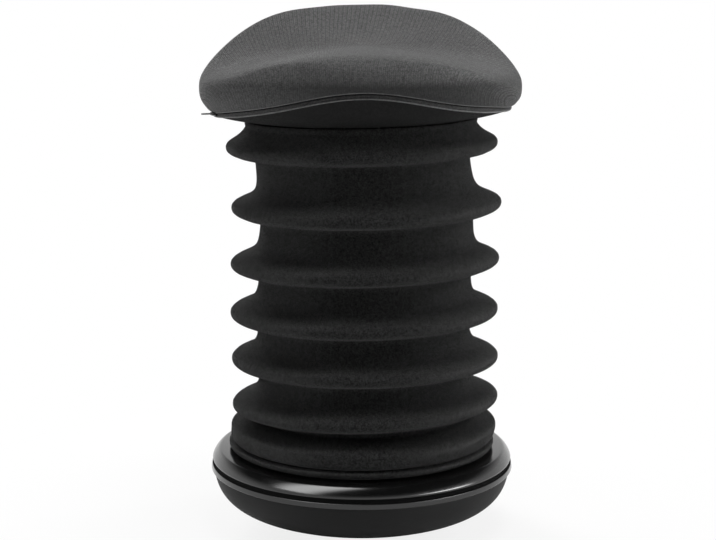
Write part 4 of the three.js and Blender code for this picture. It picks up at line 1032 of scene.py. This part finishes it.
def make_under_cover():
    angle = circle(224)
    reach = np.linspace(0, 1, 22)
    height = np.interp(reach, [0, 0.35, 0.7, 1], [0, 0.2, 0.55, 1])
    outside = softened(np.array([cover_row(angle, r, h) for r, h in zip(reach, height)]), 6)
    edge = zip_line(angle) - edge_drop(angle)
    lip = [
        seat_line(angle, SEAM_SHARE, 0.0011, edge + 0.0006),
        seat_line(angle, SEAM_SHARE, 0.0018, edge + 0.0009),
        seat_line(angle, SEAM_SHARE, 0.0050, edge + 0.0009),
    ]
    inside = []
    for row in outside[::-3]:
        inward = row.copy()
        inward[:, 0] -= 0.0018 * np.cos(angle)
        inward[:, 1] -= 0.0018 * np.sin(angle)
        inward[:, 2] += 0.0018
        inside.append(inward)
    rows = [*outside, *lip, *inside]
    lengths = arc_lengths(np.array(rows))
    uv = (np.arange(len(angle) + 1) / len(angle) * TURN * 0.15, [*lengths, lengths[-1] + 0.003])
    cover = wrapped_rows("under_panel", rows, PANEL_KNIT, closed=True, uv=uv)
    cut_lever_slot(cover)
    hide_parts("under_cover")
    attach(cover, "seat")
    return cover


def cut_lever_slot(cover):
    """The opening behind, through which the release lever comes out."""
    bpy.ops.mesh.primitive_cube_add(size=1, location=LEVER_SLOT_PLACE)
    cutter = bpy.context.object
    cutter.scale = LEVER_SLOT_SIZE
    bevel = cutter.modifiers.new("round_corners", "BEVEL")
    bevel.width = LEVER_SLOT_CORNER
    bevel.segments = 4
    cut = cover.modifiers.new("lever_slot", "BOOLEAN")
    cut.operation = "DIFFERENCE"
    cut.solver = "EXACT"
    cut.object = cutter
    bpy.context.view_layer.update()
    graph = bpy.context.evaluated_depsgraph_get()
    made = bpy.data.meshes.new_from_object(cover.evaluated_get(graph))
    cover.modifiers.clear()
    cover.data = made
    bpy.data.objects.remove(cutter)


def make_zip_tape():
    """The cloth band under the zip's opening, down to the cover's lower edge."""
    angle = circle(256)
    top = zip_line(angle) - 0.0006
    drop = edge_drop(angle) - 0.0006
    rows = []
    for inset, share, rise in TAPE_SECTION:
        rows.append(seat_line(angle, SEAM_SHARE, inset, top - drop * share + rise))
    lengths = arc_lengths(np.array(rows))
    uv = (np.arange(len(angle) + 1) / len(angle) * TURN * SEAT_X, [*lengths, lengths[-1] + 0.004])
    tape = wrapped_rows("zip_tape_band", rows, EDGE_KNIT, closed=True, uv=uv)
    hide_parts("zip_tape")
    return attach(tape, "seat")


def make_zip_teeth():
    """The closed chain inside the opening: small teeth from above and below."""
    angle = circle(ZIP_TEETH)
    line = seat_line(angle, SEAM_SHARE, 0.0030, zip_line(angle) + 0.0001)
    ahead = np.roll(line, -1, axis=0) - np.roll(line, 1, axis=0)
    ahead /= np.linalg.norm(ahead, axis=1)[:, None]
    outward = np.stack([np.cos(angle), np.sin(angle), 0 * angle], axis=1)
    up = np.cross(outward, ahead)
    up *= np.sign(up[:, 2])[:, None]
    points, faces = [], []
    for i in range(ZIP_TEETH):
        rise = TOOTH_STAGGER if i % 2 else -TOOTH_STAGGER
        start = len(points)
        for out, wide, tall in TOOTH_STEPS:
            for a, b in ((-1, -1), (1, -1), (1, 1), (-1, 1)):
                points.append(line[i] + outward[i] * out + ahead[i] * wide * a + up[i] * (tall * b + rise))
        for k in (0, 4):
            for a in range(4):
                b = (a + 1) % 4
                faces.append((start + k + a, start + k + b, start + k + 4 + b, start + k + 4 + a))
        faces.append((start + 8, start + 9, start + 10, start + 11))
        faces.append((start + 3, start + 2, start + 1, start))
    teeth = mesh_piece("zip_teeth", points, faces, ZIP_BLACK)
    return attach(teeth, "seat")


def make_neck_ring():
    outline = [
        (0.1194, 0.4490), *arc((0.1240, 0.4498), 0.0008, -90, 0, 4),
        *arc((0.1240, 0.4542), 0.0008, 0, 90, 4), (0.1194, 0.4550),
    ]
    ring = revolved("neck_ring_moulding", outline, MATT_BLACK_AND_GROOVE_SHADE)
    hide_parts("neck_ring")
    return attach(ring, "seat")


# Studio

def ray_kinds(tree):
    """Whether a ray comes from the camera, and whether from a reflection or through glass."""
    rays = tree.nodes.new("ShaderNodeLightPath").outputs
    return rays["Is Camera Ray"], maths(tree, "MAXIMUM", rays["Is Glossy Ray"], rays["Is Transmission Ray"])


def mix_shaders(tree, factor, first, second, out):
    mix = tree.nodes.new("ShaderNodeMixShader")
    for socket, value in zip(mix.inputs, (factor, first.outputs[0], second.outputs[0])):
        tree.links.new(value, socket)
    tree.links.new(mix.outputs[0], out.inputs[0])


def make_floor():
    material = bpy.data.materials.new("studio_floor")
    material.use_nodes = True
    tree = material.node_tree
    tree.nodes.clear()
    out = tree.nodes.new("ShaderNodeOutputMaterial")
    paint = tree.nodes.new("ShaderNodeBsdfDiffuse")
    paint.inputs["Color"].default_value = (0.88, 0.88, 0.88, 1)
    glow = tree.nodes.new("ShaderNodeEmission")
    glow.inputs["Strength"].default_value = 1.0
    camera_rays, mirrored = ray_kinds(tree)
    place = tree.nodes.new("ShaderNodeTexCoord").outputs["Object"]
    far = tree.nodes.new("ShaderNodeVectorMath")
    far.operation = "LENGTH"
    tree.links.new(place, far.inputs[0])
    white = between(tree, far.outputs["Value"], 0.12, 0.55, 0.84, 1.0)
    seen_white = maths(tree, "MULTIPLY", white, camera_rays)
    mirrored_white = maths(tree, "MULTIPLY", between(tree, far.outputs["Value"], 0.12, 0.30), mirrored)
    mix_shaders(tree, maths(tree, "MAXIMUM", seen_white, mirrored_white), paint, glow, out)
    bpy.ops.mesh.primitive_plane_add(size=60)
    floor = bpy.context.object
    floor.name = "studio_floor"
    floor.data.materials.append(material)


def make_world():
    world = bpy.data.worlds.new("studio_white")
    bpy.context.scene.world = world
    world.use_nodes = True
    tree = world.node_tree
    tree.nodes.clear()
    out = tree.nodes.new("ShaderNodeOutputWorld")
    fill = tree.nodes.new("ShaderNodeBackground")
    fill.inputs["Color"].default_value = (1, 1, 1, 1)
    fill.inputs["Strength"].default_value = WORLD_FILL
    white = tree.nodes.new("ShaderNodeBackground")
    white.inputs["Color"].default_value = (1, 1, 1, 1)
    white.inputs["Strength"].default_value = 1.0
    way = tree.nodes.new("ShaderNodeTexCoord").outputs["Generated"]
    split = tree.nodes.new("ShaderNodeSeparateXYZ")
    tree.links.new(way, split.inputs[0])
    backdrop = between(tree, split.outputs[2], BACKDROP_FADE[1], BACKDROP_FADE[0])
    camera_rays, mirrored = ray_kinds(tree)
    seen = maths(tree, "MAXIMUM", camera_rays, maths(tree, "MULTIPLY", mirrored, backdrop))
    mix_shaders(tree, seen, fill, white, out)


def soften_lamp(lamp):
    """Fades a panel's light out towards its two ends."""
    lamp.use_nodes = True
    tree = lamp.node_tree
    glow = tree.nodes["Emission"]
    place = tree.nodes.new("ShaderNodeTexCoord").outputs["UV"]
    split = tree.nodes.new("ShaderNodeSeparateXYZ")
    tree.links.new(place, split.inputs[0])
    end = maths(tree, "ABSOLUTE", maths(tree, "MULTIPLY_ADD", split.outputs[0], 2.0, -1.0))
    fade = between(tree, end, 1.0, 0.35)
    tree.links.new(fade, glow.inputs["Strength"])


def make_lamps():
    for name, turn, climb, distance, width, height, power in LAMPS:
        lamp = bpy.data.lights.new(name, "AREA")
        lamp.shape = "RECTANGLE"
        lamp.size, lamp.size_y = width, height
        lamp.energy = power
        if name in GLOSS_PANELS:
            soften_lamp(lamp)
        holder = bpy.data.objects.new(name, lamp)
        bpy.context.scene.collection.objects.link(holder)
        holder.visible_diffuse = name not in GLOSS_PANELS
        holder.visible_glossy = name in GLOSS_PANELS
        round_by, up_by = math.radians(turn), math.radians(climb)
        level = math.cos(up_by)
        way = Vector((math.sin(round_by) * level, -math.cos(round_by) * level, math.sin(up_by)))
        holder.location = Vector(LAMP_AIM) + way * distance
        holder.rotation_euler = (-way).to_track_quat("-Z", "Y").to_euler()


def make_camera():
    camera = bpy.data.cameras.new("photo_view")
    camera.sensor_width = 36
    camera.lens = CAMERA_LENS
    camera.clip_start, camera.clip_end = 0.05, 100
    holder = bpy.data.objects.new("photo_view", camera)
    bpy.context.scene.collection.objects.link(holder)
    holder.location = CAMERA_PLACE
    holder.rotation_euler = (math.radians(CAMERA_TILT), 0, 0)
    bpy.context.scene.camera = holder


make_camera()
make_world()
make_lamps()
make_floor()
bpy.context.scene.view_settings.view_transform = "Standard"
finish_cad_nodes()
make_sole()
make_bowl()
make_ring()
make_bellows()
make_cushion()
make_under_cover()
make_zip_tape()
make_edge_roll("seat_edge_roll_upper", -0.0006, lambda angle: zip_line(angle) + 0.0013, 0.0007)
make_edge_roll("seat_edge_roll_lower", 0.0004, lambda angle: zip_line(angle) - edge_drop(angle), 0.0008)
make_zip_teeth()
make_neck_ring()
